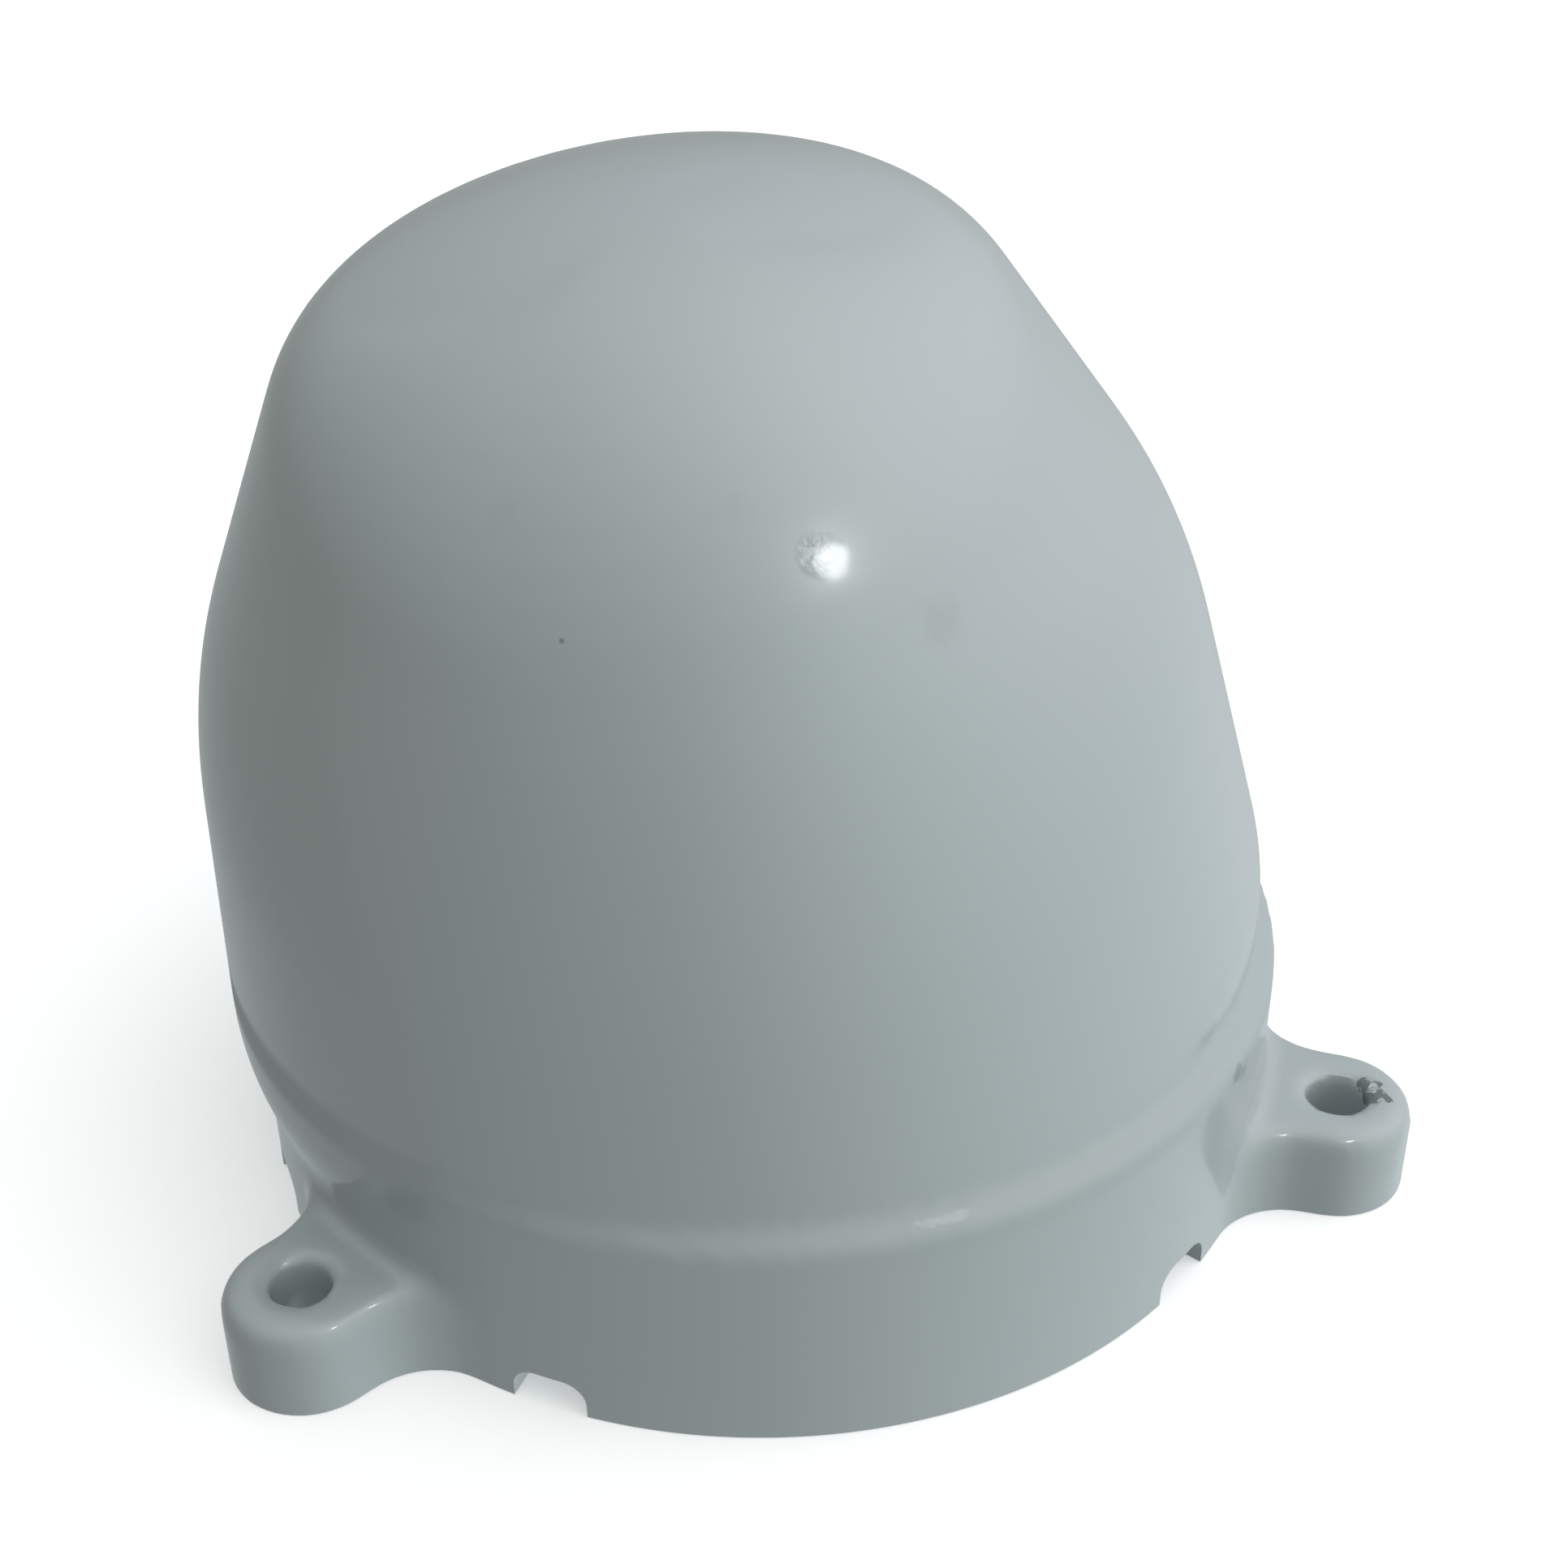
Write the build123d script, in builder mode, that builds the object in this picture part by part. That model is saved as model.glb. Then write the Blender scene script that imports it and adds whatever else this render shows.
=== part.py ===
from build123d import *
import os
from math import cos, radians, sin

# Radar dome antenna: a leaning dome on a ring with three ears, and a turning, tilting antenna inside.
# Millimetres, +Z up. The origin is the centre of the mounting circle, on the face it rests on.
# One ear points along +X, and the other two stand at 120 and 240 degrees.

# Mounting ring and ears
RING_R = 80.0
RING_HEIGHT = 35.5
RING_WALL = 4.5
RING_EDGE_ROUND = 2.5
EAR_COUNT = 3
EAR_CIRCLE_R = 91.7
EAR_TIP_R = 11.5
EAR_HEIGHT = 15.0
EAR_ROOT_ROUND = 12.0
EAR_EDGE_ROUND = 3.0
EAR_HOLE_R = 4.5
NOTCH_WIDTH = 11.5
NOTCH_HEIGHT = 5.7
NOTCH_ROUND = 3.6
NOTCH_ANGLE = 23.5

# Leaning dome, as radius and height along its own axis
DOME_WALL = 3.5
DOME_LEAN = 9.4
DOME_LEAN_TOWARDS = 240.0
DOME_SET_OFF = 5.2
DOME_SET_OFF_TOWARDS = 150.0
FOOT_R = 74.0
FOOT_DROP = 32.0
WAIST_R = 82.0
WAIST_ROUND = 30.0
SHOULDER_R = 72.7
SHOULDER_HEIGHT = 58.0
SHOULDER_ROUND = 88.0
BROW_R = 47.5
BROW_HEIGHT = 106.0
BROW_ROUND = 24.0
CROWN_HEIGHT = 117.5

# Base plate, its seat in the ring, and its screws
PLATE_UNDERSIDE = 8.0
PLATE_THICK = 3.0
GASKET_THICK = 1.0
SEAT_THICK = 4.0
SEAT_WIDTH = 10.5
EDGE_CLEARANCE = 0.4
BASE_SCREW_COUNT = 6
BASE_SCREW_D = 4.0
BASE_SCREW_LENGTH = 16.0
BASE_BOSS_R = 5.5
BASE_BOSS_HEIGHT = 14.0

# Fits
FIXED_GAP = 0.02
RUNNING_GAP = 0.05
SCREW_GAP = 0.3
FACE_GAP = 0.5

# Shaft, bushes and pedestal
SHAFT_R = 6.0
SHAFT_BORE_R = 3.5
BUSH_R = 9.0
LOWER_BUSH_LENGTH = 5.0
UPPER_BUSH_LENGTH = 6.0
BUSH_FLANGE_R = 12.0
BUSH_FLANGE_THICK = 1.5
PEDESTAL_R = 13.0
PEDESTAL_HEIGHT = 25.0
PEDESTAL_FLANGE_R = 25.0
PEDESTAL_FLANGE_THICK = 3.0
PEDESTAL_SCREW_CIRCLE_R = 20.0
LOWER_BUSH_LIFT = 8.0
RETAINER_THICK = 1.2
WASHER_THICK = 0.6

# Gears
MODULE = 1.0
BACKLASH = 0.15
GEAR_TEETH = 72
PINION_TEETH = 16
GEAR_THICK = 4.5
GEAR_BORE_GAP = 2.0
SECTOR_TEETH = 40
TILT_PINION_TEETH = 12
SECTOR_THICK = 3.0

# Turntable, yoke and tilting antenna
TURNTABLE_R = 50.0
TURNTABLE_THICK = 3.0
NUT_ACROSS = 16.0
NUT_THICK = 4.0
YOKE_HALF_WIDTH = 33.0
YOKE_THICK = 3.0
YOKE_DEPTH = 28.0
CHEEK_FRONT = 6.0
CHEEK_BACK = 8.0
TILT_AXIS_ABOVE_TURNTABLE = 34.0
TRAY_WIDTH = 84.0
TRAY_HEIGHT = 48.0
TRAY_DEPTH = 6.0
TRAY_WALL = 1.5
TRAY_BACK = 12.0
LUG_THICK = 4.0
LUG_R = 7.0
PIN_R = 3.0
PIN_HEAD_R = 4.5
PIN_HEAD_THICK = 1.8
BOARD_THICK = 1.6
PATCH_SIZE = 7.0
PATCH_PITCH = 10.0
PATCH_COLUMNS = 7
PATCH_ROWS = 4
PATCH_THICK = 0.3
TRAY_SCREW_D = 2.0
TRAY_SCREW_SPREAD_X = 37.0
TRAY_SCREW_SPREAD_Z = 19.0
COUPLER_AT = (-12.0, 10.0)
COUPLER_WIDTH = 12.0
COUPLER_HEIGHT = 10.0
COUPLER_DEPTH = 5.0
COUPLER_PORT_R = 2.5
COUPLER_PORT_LENGTH = 3.0

# Tilt drive: the sector's teeth meet the pinion below and behind the tilt axis
TILT_DRIVE_ANGLE = -45.0
SECTOR_TOOTH_COUNT = 8
SECTOR_SCREW_D = 1.6
SECTOR_SCREW_CIRCLE_R = 5.2

# Motors
AZIMUTH_MOTOR_R = 14.0
AZIMUTH_MOTOR_HEIGHT = 17.0
MOTOR_FLANGE_THICK = 2.0
MOTOR_SCREW_SPREAD = 17.5
MOTOR_SHAFT_R = 1.5
TILT_MOTOR_R = 10.0
TILT_MOTOR_LENGTH = 26.0
MOTOR_BORE_DEPTH = 6.0
SADDLE_SIDE = 3.5
SADDLE_THICK = 3.0
SADDLE_REACH = 21.5

# Slip ring
STATOR_HEIGHT = 5.0
STATOR_FLOOR = 1.0
ROTOR_LIFT = 2.0
RING_GROOVE = 0.4
RING_GROOVE_PITCH = 1.2

# Main board and what it carries
BOARD_INNER_R = 28.0
BOARD_OUTER_R = 62.0
BOARD_EDGE_X = -12.0
STANDOFF_HEIGHT = 6.0
STANDOFF_R = 3.0
SMALL_SCREW_D = 3.0
SMALL_SCREW_BITE = 2.5
CAN_WIDTH = 13.0
CAN_LENGTH = 26.0
CAN_HEIGHT = 4.0
CAN_AT = (-46.5, 0.0)
CAPACITOR_R = 4.0
CAPACITOR_HEIGHT = 9.0
CAPACITORS_AT = [(-30.0, 34.0), (-19.0, 38.0), (-27.0, 46.0)]
HEADER_LENGTH = 16.0
HEADER_WIDTH = 6.0
HEADER_HEIGHT = 7.0
HEADER_WALL = 1.2
HEADER_AT = (-24.0, -37.0)

# Cable connector, breather and index sensor on the base plate
CONNECTOR_R = 7.5
CONNECTOR_WALL = 1.3
CONNECTOR_STUB = 5.0
CONNECTOR_INSIDE = 9.0
CONNECTOR_FLANGE = 2.5
CONNECTOR_FLANGE_THICK = 2.0
CONNECTOR_SOCKET_DEPTH = 8.0
CONNECTOR_NUT_THICK = 3.0
CONNECTOR_CIRCLE_R = 50.0
CONNECTOR_ANGLE = 290.0
PIN_COUNT = 5
PIN_CIRCLE_R = 3.6
CONTACT_PIN_R = 0.6
CONTACT_PIN_LENGTH = 5.0
SEAL_THICK = 1.2
VENT_R = 4.0
VENT_CIRCLE_R = 55.0
VENT_ANGLE = 330.0
VENT_LIP = 1.2
VENT_CAP_THICK = 1.0
VENT_HOLE_R = 0.6
VENT_HOLE_CIRCLE_R = 2.0
SENSOR_ANGLE = 75.0
SENSOR_CIRCLE_R = 45.0
SENSOR_STAND_OFF = 4.0
SENSOR_GAP = 0.8
SENSOR_THICK = 3.0
MAGNET_R = 2.5
MAGNET_THICK = 2.0

# Heights that follow from the sizes above
PLATE_TOP = PLATE_UNDERSIDE + PLATE_THICK
SEAT_UNDERSIDE = PLATE_TOP + GASKET_THICK
SEAT_TOP = SEAT_UNDERSIDE + SEAT_THICK
RING_INNER_R = RING_R - RING_WALL
SEAT_INNER_R = RING_INNER_R - SEAT_WIDTH
BASE_SCREW_CIRCLE_R = RING_INNER_R - BASE_BOSS_R + 0.5
PEDESTAL_TOP = PLATE_TOP + PEDESTAL_HEIGHT
LOWER_BUSH_BASE = PLATE_TOP + LOWER_BUSH_LIFT
SHAFT_FOOT = LOWER_BUSH_BASE - RETAINER_THICK - 1.0
TURNTABLE_BASE = PEDESTAL_TOP + BUSH_FLANGE_THICK + WASHER_THICK
TURNTABLE_TOP = TURNTABLE_BASE + TURNTABLE_THICK
GEAR_BASE = TURNTABLE_BASE - GEAR_THICK
TILT_AXIS_Z = TURNTABLE_TOP + TILT_AXIS_ABOVE_TURNTABLE
PINION_DISTANCE = MODULE * (GEAR_TEETH + PINION_TEETH) / 2 + BACKLASH
TILT_PINION_DISTANCE = MODULE * (SECTOR_TEETH + TILT_PINION_TEETH) / 2 + BACKLASH
CHEEK_INNER = YOKE_HALF_WIDTH - YOKE_THICK
LUG_OUTER = CHEEK_INNER - FACE_GAP
LUG_INNER = LUG_OUTER - LUG_THICK
BOARD_UNDERSIDE = PLATE_TOP + STANDOFF_HEIGHT
BOARD_TOP = BOARD_UNDERSIDE + BOARD_THICK
ROTOR_R = SHAFT_BORE_R - FIXED_GAP
ROTOR_FOOT = PLATE_TOP + ROTOR_LIFT
NUT_TOP = TURNTABLE_TOP + NUT_THICK
RETAINER_BASE = LOWER_BUSH_BASE - RUNNING_GAP - RETAINER_THICK
RETAINER_GROOVE_R = SHAFT_R - 0.6
SECTOR_TOOTH_ANGLE = 360 / SECTOR_TEETH
SECTOR_FIRST_TOOTH = TILT_DRIVE_ANGLE - 2 * SECTOR_TOOTH_ANGLE
SECTOR_SIDE = LUG_INNER - SECTOR_THICK
TILT_MOTOR_END = SECTOR_SIDE - 2.0
MOTOR_TOP = PLATE_TOP + AZIMUTH_MOTOR_HEIGHT

os.makedirs("parts", exist_ok=True)


def polar(radius, angle):
    """Return the point at a radius and an angle in degrees."""
    return (radius * cos(radians(angle)), radius * sin(radians(angle)))


def polar_points(radius, count, first):
    """Return evenly spaced points on a circle."""
    return [polar(radius, first + 360 * step / count) for step in range(count)]


def save(part, name):
    """Label one finished piece and write its STEP file."""
    part.label = name
    export_step(part, f"parts/{name}.step")


def screw_set(seat, points, diameter, length, name):
    """Make alike screws, with heads standing on a seat plane and shanks going into it."""
    head_height = 0.7 * diameter
    with BuildPart() as screws:
        with BuildSketch(seat):
            with Locations(*points):
                Circle(diameter / 2)
        extrude(amount=-length)
        with BuildSketch(seat):
            with Locations(*points):
                Circle(diameter)
        extrude(amount=head_height)
        with BuildSketch(seat.offset(head_height)):
            with Locations(*points):
                RegularPolygon(0.45 * diameter, 6)
        extrude(amount=-head_height / 2, mode=Mode.SUBTRACT)
    save(screws.part, name)


def add_teeth(teeth, phase, count):
    """Add a gear's teeth to the open sketch, round its origin from an angle of phase degrees."""
    pitch_r = MODULE * teeth / 2
    root_r = pitch_r - 1.25 * MODULE
    tip_r = pitch_r + 0.9 * MODULE
    flank = [
        (root_r - 0.5 * MODULE, 0.85 * MODULE),
        (pitch_r, 0.64 * MODULE),
        (tip_r, 0.28 * MODULE),
    ]
    outline = flank + [(x, -y) for x, y in reversed(flank)]
    with PolarLocations(0, count, start_angle=phase, angular_range=360 * count / teeth):
        Polygon(*outline, align=None)


def side_plane(x, y, z):
    """Return the plane facing +X at a point, with local X along +Y and local Y up."""
    return Plane(origin=(x, y, z), x_dir=(0, 1, 0), z_dir=(1, 0, 0))


def facing_down(height):
    """Return the plane facing down at a height, with local X along +X."""
    return Plane(origin=(0, 0, height), x_dir=(1, 0, 0), z_dir=(0, 0, -1))


def seen_from_below(points):
    """Return points of the XY plane as a plane that faces down counts them."""
    return [(x, -y) for x, y in points]


def root_radius(teeth):
    """Return the radius at the foot of a gear's teeth."""
    return MODULE * teeth / 2 - 1.25 * MODULE


def dome_frame():
    """Return the upright plane through the dome's own axis, with local Y along that axis."""
    lean = radians(DOME_LEAN)
    towards = radians(DOME_LEAN_TOWARDS)
    across = Vector(cos(lean) * cos(towards), cos(lean) * sin(towards), -sin(lean))
    axis = Vector(sin(lean) * cos(towards), sin(lean) * sin(towards), cos(lean))
    x, y = polar(DOME_SET_OFF, DOME_SET_OFF_TOWARDS)
    return Plane(origin=(x, y, RING_HEIGHT), x_dir=across, z_dir=across.cross(axis))


def dome_solid(inset):
    """Make the leaning dome as one full solid, drawn in by inset all over."""
    frame = dome_frame()
    foot = (FOOT_R - inset, -FOOT_DROP)
    waist = (WAIST_R - inset, 0)
    shoulder = (SHOULDER_R - inset, SHOULDER_HEIGHT - 0.3 * inset)
    brow = (BROW_R - 0.8 * inset, BROW_HEIGHT - 0.8 * inset)
    crown = (0, CROWN_HEIGHT - inset)
    with BuildPart() as dome:
        with BuildSketch(frame) as outline:
            with BuildLine():
                Polyline(crown, (0, -FOOT_DROP), foot, waist, shoulder, brow)
                TangentArc(crown, brow, tangent=(1, 0))
            make_face()
            fillet(outline.vertices().sort_by_distance(waist)[0], WAIST_ROUND)
            fillet(outline.vertices().sort_by_distance(shoulder)[0], SHOULDER_ROUND - inset)
            fillet(outline.vertices().sort_by_distance(brow)[0], BROW_ROUND - inset)
        revolve(axis=Axis(frame.origin, frame.y_dir))
    return dome.part


ear_points = polar_points(EAR_CIRCLE_R, EAR_COUNT, 0)
base_screw_points = polar_points(BASE_SCREW_CIRCLE_R, BASE_SCREW_COUNT, 30)

# Dome, ring and ears: one moulding, open below
dome_outside = dome_solid(0)
dome_inside = dome_solid(DOME_WALL)
# The inside of the dome is kept to what lies above the ring's bore
with BuildPart() as dome_cavity:
    add(dome_inside)
    split(bisect_by=Plane.XY.offset(SEAT_TOP + BASE_BOSS_HEIGHT - 2), keep=Keep.TOP)
with BuildPart() as dome_shell:
    with BuildSketch() as ear_outline:
        Circle(RING_R)
        with PolarLocations(EAR_CIRCLE_R / 2, EAR_COUNT):
            Rectangle(EAR_CIRCLE_R, 2 * EAR_TIP_R)
        with Locations(*ear_points):
            Circle(EAR_TIP_R)
        roots = [v for v in ear_outline.vertices() if abs(Vector(v).length - RING_R) < 0.01]
        fillet(roots, EAR_ROOT_ROUND)
    extrude(amount=EAR_HEIGHT)
    fillet(dome_shell.faces().sort_by(Axis.Z)[-1].outer_wire().edges(), EAR_EDGE_ROUND)
    with BuildSketch():
        Circle(RING_R)
    extrude(amount=RING_HEIGHT)
    fillet(dome_shell.faces().sort_by(Axis.Z)[-1].outer_wire().edges(), RING_EDGE_ROUND)
    add(dome_outside)
    split(bisect_by=Plane.XY, keep=Keep.TOP)
    add(dome_cavity.part, mode=Mode.SUBTRACT)
    with BuildSketch():
        Circle(RING_INNER_R)
    extrude(amount=SEAT_TOP + BASE_BOSS_HEIGHT, mode=Mode.SUBTRACT)
    with BuildSketch(Plane.XY.offset(SEAT_UNDERSIDE)):
        Circle(RING_INNER_R + 1)
        Circle(SEAT_INNER_R, mode=Mode.SUBTRACT)
    extrude(amount=SEAT_THICK)
    with BuildSketch(Plane.XY.offset(SEAT_UNDERSIDE)):
        with Locations(*base_screw_points):
            Circle(BASE_BOSS_R)
    extrude(amount=SEAT_THICK + BASE_BOSS_HEIGHT)
    with BuildSketch(Plane.XY.offset(SEAT_UNDERSIDE)):
        with Locations(*base_screw_points):
            Circle(BASE_SCREW_D / 2 + FIXED_GAP)
    extrude(amount=BASE_SCREW_LENGTH, mode=Mode.SUBTRACT)
    with BuildSketch():
        with Locations(*ear_points):
            Circle(EAR_HOLE_R)
    extrude(amount=EAR_HEIGHT, mode=Mode.SUBTRACT)
    for ear in range(EAR_COUNT):
        for side in (-1, 1):
            outward = polar(1, 360 * ear / EAR_COUNT + side * NOTCH_ANGLE)
            sideways = (-outward[1], outward[0], 0)
            with BuildSketch(Plane(origin=(0, 0, 0), x_dir=sideways, z_dir=(*outward, 0))):
                RectangleRounded(NOTCH_WIDTH, 2 * NOTCH_HEIGHT, NOTCH_ROUND)
            extrude(amount=RING_R + EAR_TIP_R, mode=Mode.SUBTRACT)
save(dome_shell.part, "dome_shell")

# Base plate, with a hole for all that stands in it
pedestal_screw_points = polar_points(PEDESTAL_SCREW_CIRCLE_R, 4, 45)
azimuth_motor_at = (PINION_DISTANCE, 0)
motor_screw_points = [(PINION_DISTANCE, -MOTOR_SCREW_SPREAD), (PINION_DISTANCE, MOTOR_SCREW_SPREAD)]
board_screw_points = [polar(BOARD_OUTER_R - 5, angle) for angle in (130, 180, 230)]
board_screw_points += [(-BOARD_INNER_R - 5, 0)]
connector_at = polar(CONNECTOR_CIRCLE_R, CONNECTOR_ANGLE)
vent_at = polar(VENT_CIRCLE_R, VENT_ANGLE)
sensor_at = polar(SENSOR_CIRCLE_R + SENSOR_STAND_OFF, SENSOR_ANGLE)
magnet_at = polar(SENSOR_CIRCLE_R, SENSOR_ANGLE)
with BuildPart() as base_plate:
    with BuildSketch(Plane.XY.offset(PLATE_UNDERSIDE)):
        Circle(RING_INNER_R - EDGE_CLEARANCE)
        with Locations(*base_screw_points):
            Circle(BASE_SCREW_D / 2 + SCREW_GAP, mode=Mode.SUBTRACT)
        with Locations(*pedestal_screw_points, *motor_screw_points, *board_screw_points):
            Circle(SMALL_SCREW_D / 2 + FIXED_GAP, mode=Mode.SUBTRACT)
        with Locations(connector_at):
            Circle(CONNECTOR_R + FIXED_GAP, mode=Mode.SUBTRACT)
        with Locations(vent_at):
            Circle(VENT_R + FIXED_GAP, mode=Mode.SUBTRACT)
    extrude(amount=PLATE_THICK)
save(base_plate.part, "base_plate")

with BuildPart() as base_gasket:
    with BuildSketch(Plane.XY.offset(PLATE_TOP)):
        Circle(RING_INNER_R - EDGE_CLEARANCE)
        Circle(SEAT_INNER_R + 0.5, mode=Mode.SUBTRACT)
        with Locations(*base_screw_points):
            Circle(BASE_SCREW_D / 2 + SCREW_GAP, mode=Mode.SUBTRACT)
    extrude(amount=GASKET_THICK)
save(base_gasket.part, "base_gasket")

plate_below = facing_down(PLATE_UNDERSIDE)
screw_set(plate_below, seen_from_below(base_screw_points), BASE_SCREW_D, BASE_SCREW_LENGTH, "base_screws")

# Pedestal with the two bushes that the shaft turns in
with BuildPart() as bearing_pedestal:
    with BuildSketch(Plane.XY.offset(PLATE_TOP)):
        Circle(PEDESTAL_FLANGE_R)
        with Locations(*pedestal_screw_points):
            Circle(SMALL_SCREW_D / 2 + SCREW_GAP, mode=Mode.SUBTRACT)
    extrude(amount=PEDESTAL_FLANGE_THICK)
    with BuildSketch(Plane.XY.offset(PLATE_TOP)):
        Circle(PEDESTAL_R)
    extrude(amount=PEDESTAL_HEIGHT)
    with BuildSketch(Plane.XY.offset(PLATE_TOP)):
        Circle(BUSH_R + FIXED_GAP)
    extrude(amount=PEDESTAL_HEIGHT, mode=Mode.SUBTRACT)
save(bearing_pedestal.part, "bearing_pedestal")

flange_top = Plane.XY.offset(PLATE_TOP + PEDESTAL_FLANGE_THICK)
pedestal_screw_length = PEDESTAL_FLANGE_THICK + SMALL_SCREW_BITE
screw_set(flange_top, pedestal_screw_points, SMALL_SCREW_D, pedestal_screw_length, "pedestal_screws")

with BuildPart() as lower_bush:
    with BuildSketch(Plane.XY.offset(LOWER_BUSH_BASE)):
        Circle(BUSH_R)
        Circle(SHAFT_R + RUNNING_GAP, mode=Mode.SUBTRACT)
    extrude(amount=LOWER_BUSH_LENGTH)
save(lower_bush.part, "lower_bush")

with BuildPart() as upper_bush:
    with BuildSketch(Plane.XY.offset(PEDESTAL_TOP - UPPER_BUSH_LENGTH)):
        Circle(BUSH_R)
    extrude(amount=UPPER_BUSH_LENGTH)
    with BuildSketch(Plane.XY.offset(PEDESTAL_TOP)):
        Circle(BUSH_FLANGE_R)
    extrude(amount=BUSH_FLANGE_THICK)
    with BuildSketch(Plane.XY.offset(PEDESTAL_TOP - UPPER_BUSH_LENGTH)):
        Circle(SHAFT_R + RUNNING_GAP)
    extrude(amount=UPPER_BUSH_LENGTH + BUSH_FLANGE_THICK, mode=Mode.SUBTRACT)
save(upper_bush.part, "upper_bush")

# Slip ring: the stator stands on the base plate and the rotor hangs in the hollow shaft
with BuildPart() as slip_ring_stator:
    with BuildSketch(Plane.XY.offset(PLATE_TOP)):
        Circle(BUSH_R - FACE_GAP)
    extrude(amount=STATOR_HEIGHT)
    with BuildSketch(Plane.XY.offset(PLATE_TOP + STATOR_FLOOR)):
        Circle(ROTOR_R + RUNNING_GAP)
    extrude(amount=STATOR_HEIGHT - STATOR_FLOOR, mode=Mode.SUBTRACT)
save(slip_ring_stator.part, "slip_ring_stator")

with BuildPart() as slip_ring_rotor:
    with BuildSketch(Plane.XY.offset(ROTOR_FOOT)):
        Circle(ROTOR_R)
    extrude(amount=TURNTABLE_TOP - ROTOR_FOOT)
    # Grooves part the contact rings that the brushes run on
    for groove in range(2):
        with BuildSketch(Plane.XY.offset(ROTOR_FOOT + 2 * RING_GROOVE + RING_GROOVE_PITCH * groove)):
            Circle(ROTOR_R + 1)
            Circle(ROTOR_R - RING_GROOVE, mode=Mode.SUBTRACT)
        extrude(amount=RING_GROOVE, mode=Mode.SUBTRACT)
save(slip_ring_rotor.part, "slip_ring_rotor")

# Turning shaft, held down by a ring below the lower bush and a nut on the turntable
with BuildPart() as main_shaft:
    with BuildSketch(Plane.XY.offset(SHAFT_FOOT)):
        Circle(SHAFT_R)
        Circle(SHAFT_BORE_R, mode=Mode.SUBTRACT)
    extrude(amount=NUT_TOP + 1 - SHAFT_FOOT)
    with BuildSketch(Plane.XY.offset(RETAINER_BASE)):
        Circle(SHAFT_R + 1)
        Circle(RETAINER_GROOVE_R, mode=Mode.SUBTRACT)
    extrude(amount=RETAINER_THICK, mode=Mode.SUBTRACT)
save(main_shaft.part, "main_shaft")

with BuildPart() as retaining_ring:
    with BuildSketch(Plane.XY.offset(RETAINER_BASE)):
        Circle(SHAFT_R + 1.8)
        Circle(RETAINER_GROOVE_R + FIXED_GAP, mode=Mode.SUBTRACT)
        with Locations((SHAFT_R + 1, 0)):
            Rectangle(5, 2.4, mode=Mode.SUBTRACT)
    extrude(amount=RETAINER_THICK)
save(retaining_ring.part, "retaining_ring")

with BuildPart() as thrust_washer:
    with BuildSketch(Plane.XY.offset(TURNTABLE_BASE - WASHER_THICK)):
        Circle(BUSH_FLANGE_R - 0.5)
        Circle(SHAFT_R + FIXED_GAP, mode=Mode.SUBTRACT)
    extrude(amount=WASHER_THICK)
save(thrust_washer.part, "thrust_washer")

gear_screw_points = polar_points(PEDESTAL_R + 8, 4, 45)
saddle_screw_points = [(-3.0, 32.0), (17.0, 32.0)]
yoke_screw_points = [(x, y) for x in (-20.0, 20.0) for y in (-10.0, 10.0)]
with BuildPart() as turntable_plate:
    with BuildSketch(Plane.XY.offset(TURNTABLE_BASE)):
        Circle(TURNTABLE_R)
        Circle(SHAFT_R + FIXED_GAP, mode=Mode.SUBTRACT)
        with Locations(*yoke_screw_points, *saddle_screw_points, *gear_screw_points):
            Circle(SMALL_SCREW_D / 2 + FIXED_GAP, mode=Mode.SUBTRACT)
        with PolarLocations(TURNTABLE_R - 11, 6, start_angle=195, angular_range=180):
            Circle(4, mode=Mode.SUBTRACT)
    extrude(amount=TURNTABLE_THICK)
    with BuildSketch(Plane.XY.offset(TURNTABLE_BASE)):
        with Locations(magnet_at):
            Circle(MAGNET_R + FIXED_GAP)
    extrude(amount=MAGNET_THICK, mode=Mode.SUBTRACT)
save(turntable_plate.part, "turntable_plate")

with BuildPart() as index_magnet:
    with BuildSketch(Plane.XY.offset(TURNTABLE_BASE)):
        with Locations(magnet_at):
            Circle(MAGNET_R)
    extrude(amount=MAGNET_THICK)
save(index_magnet.part, "index_magnet")

with BuildPart() as driven_gear:
    with BuildSketch(Plane.XY.offset(GEAR_BASE)):
        Circle(root_radius(GEAR_TEETH))
        add_teeth(GEAR_TEETH, 0, GEAR_TEETH)
        Circle(PEDESTAL_R + GEAR_BORE_GAP, mode=Mode.SUBTRACT)
        with Locations(*gear_screw_points):
            Circle(SMALL_SCREW_D / 2 + SCREW_GAP, mode=Mode.SUBTRACT)
        with PolarLocations((PEDESTAL_R + root_radius(GEAR_TEETH)) / 2 + 4, 8):
            Circle(3.5, mode=Mode.SUBTRACT)
    extrude(amount=GEAR_THICK)
save(driven_gear.part, "driven_gear")

turntable_top = Plane.XY.offset(TURNTABLE_TOP)
gear_below = facing_down(GEAR_BASE)
gear_screw_length = GEAR_THICK + TURNTABLE_THICK - 0.5
screw_set(gear_below, seen_from_below(gear_screw_points), SMALL_SCREW_D, gear_screw_length, "gear_screws")

with BuildPart() as shaft_nut:
    with BuildSketch(turntable_top):
        RegularPolygon(NUT_ACROSS / 2, 6, major_radius=False)
        Circle(SHAFT_R + FIXED_GAP, mode=Mode.SUBTRACT)
    extrude(amount=NUT_THICK)
save(shaft_nut.part, "shaft_nut")

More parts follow.
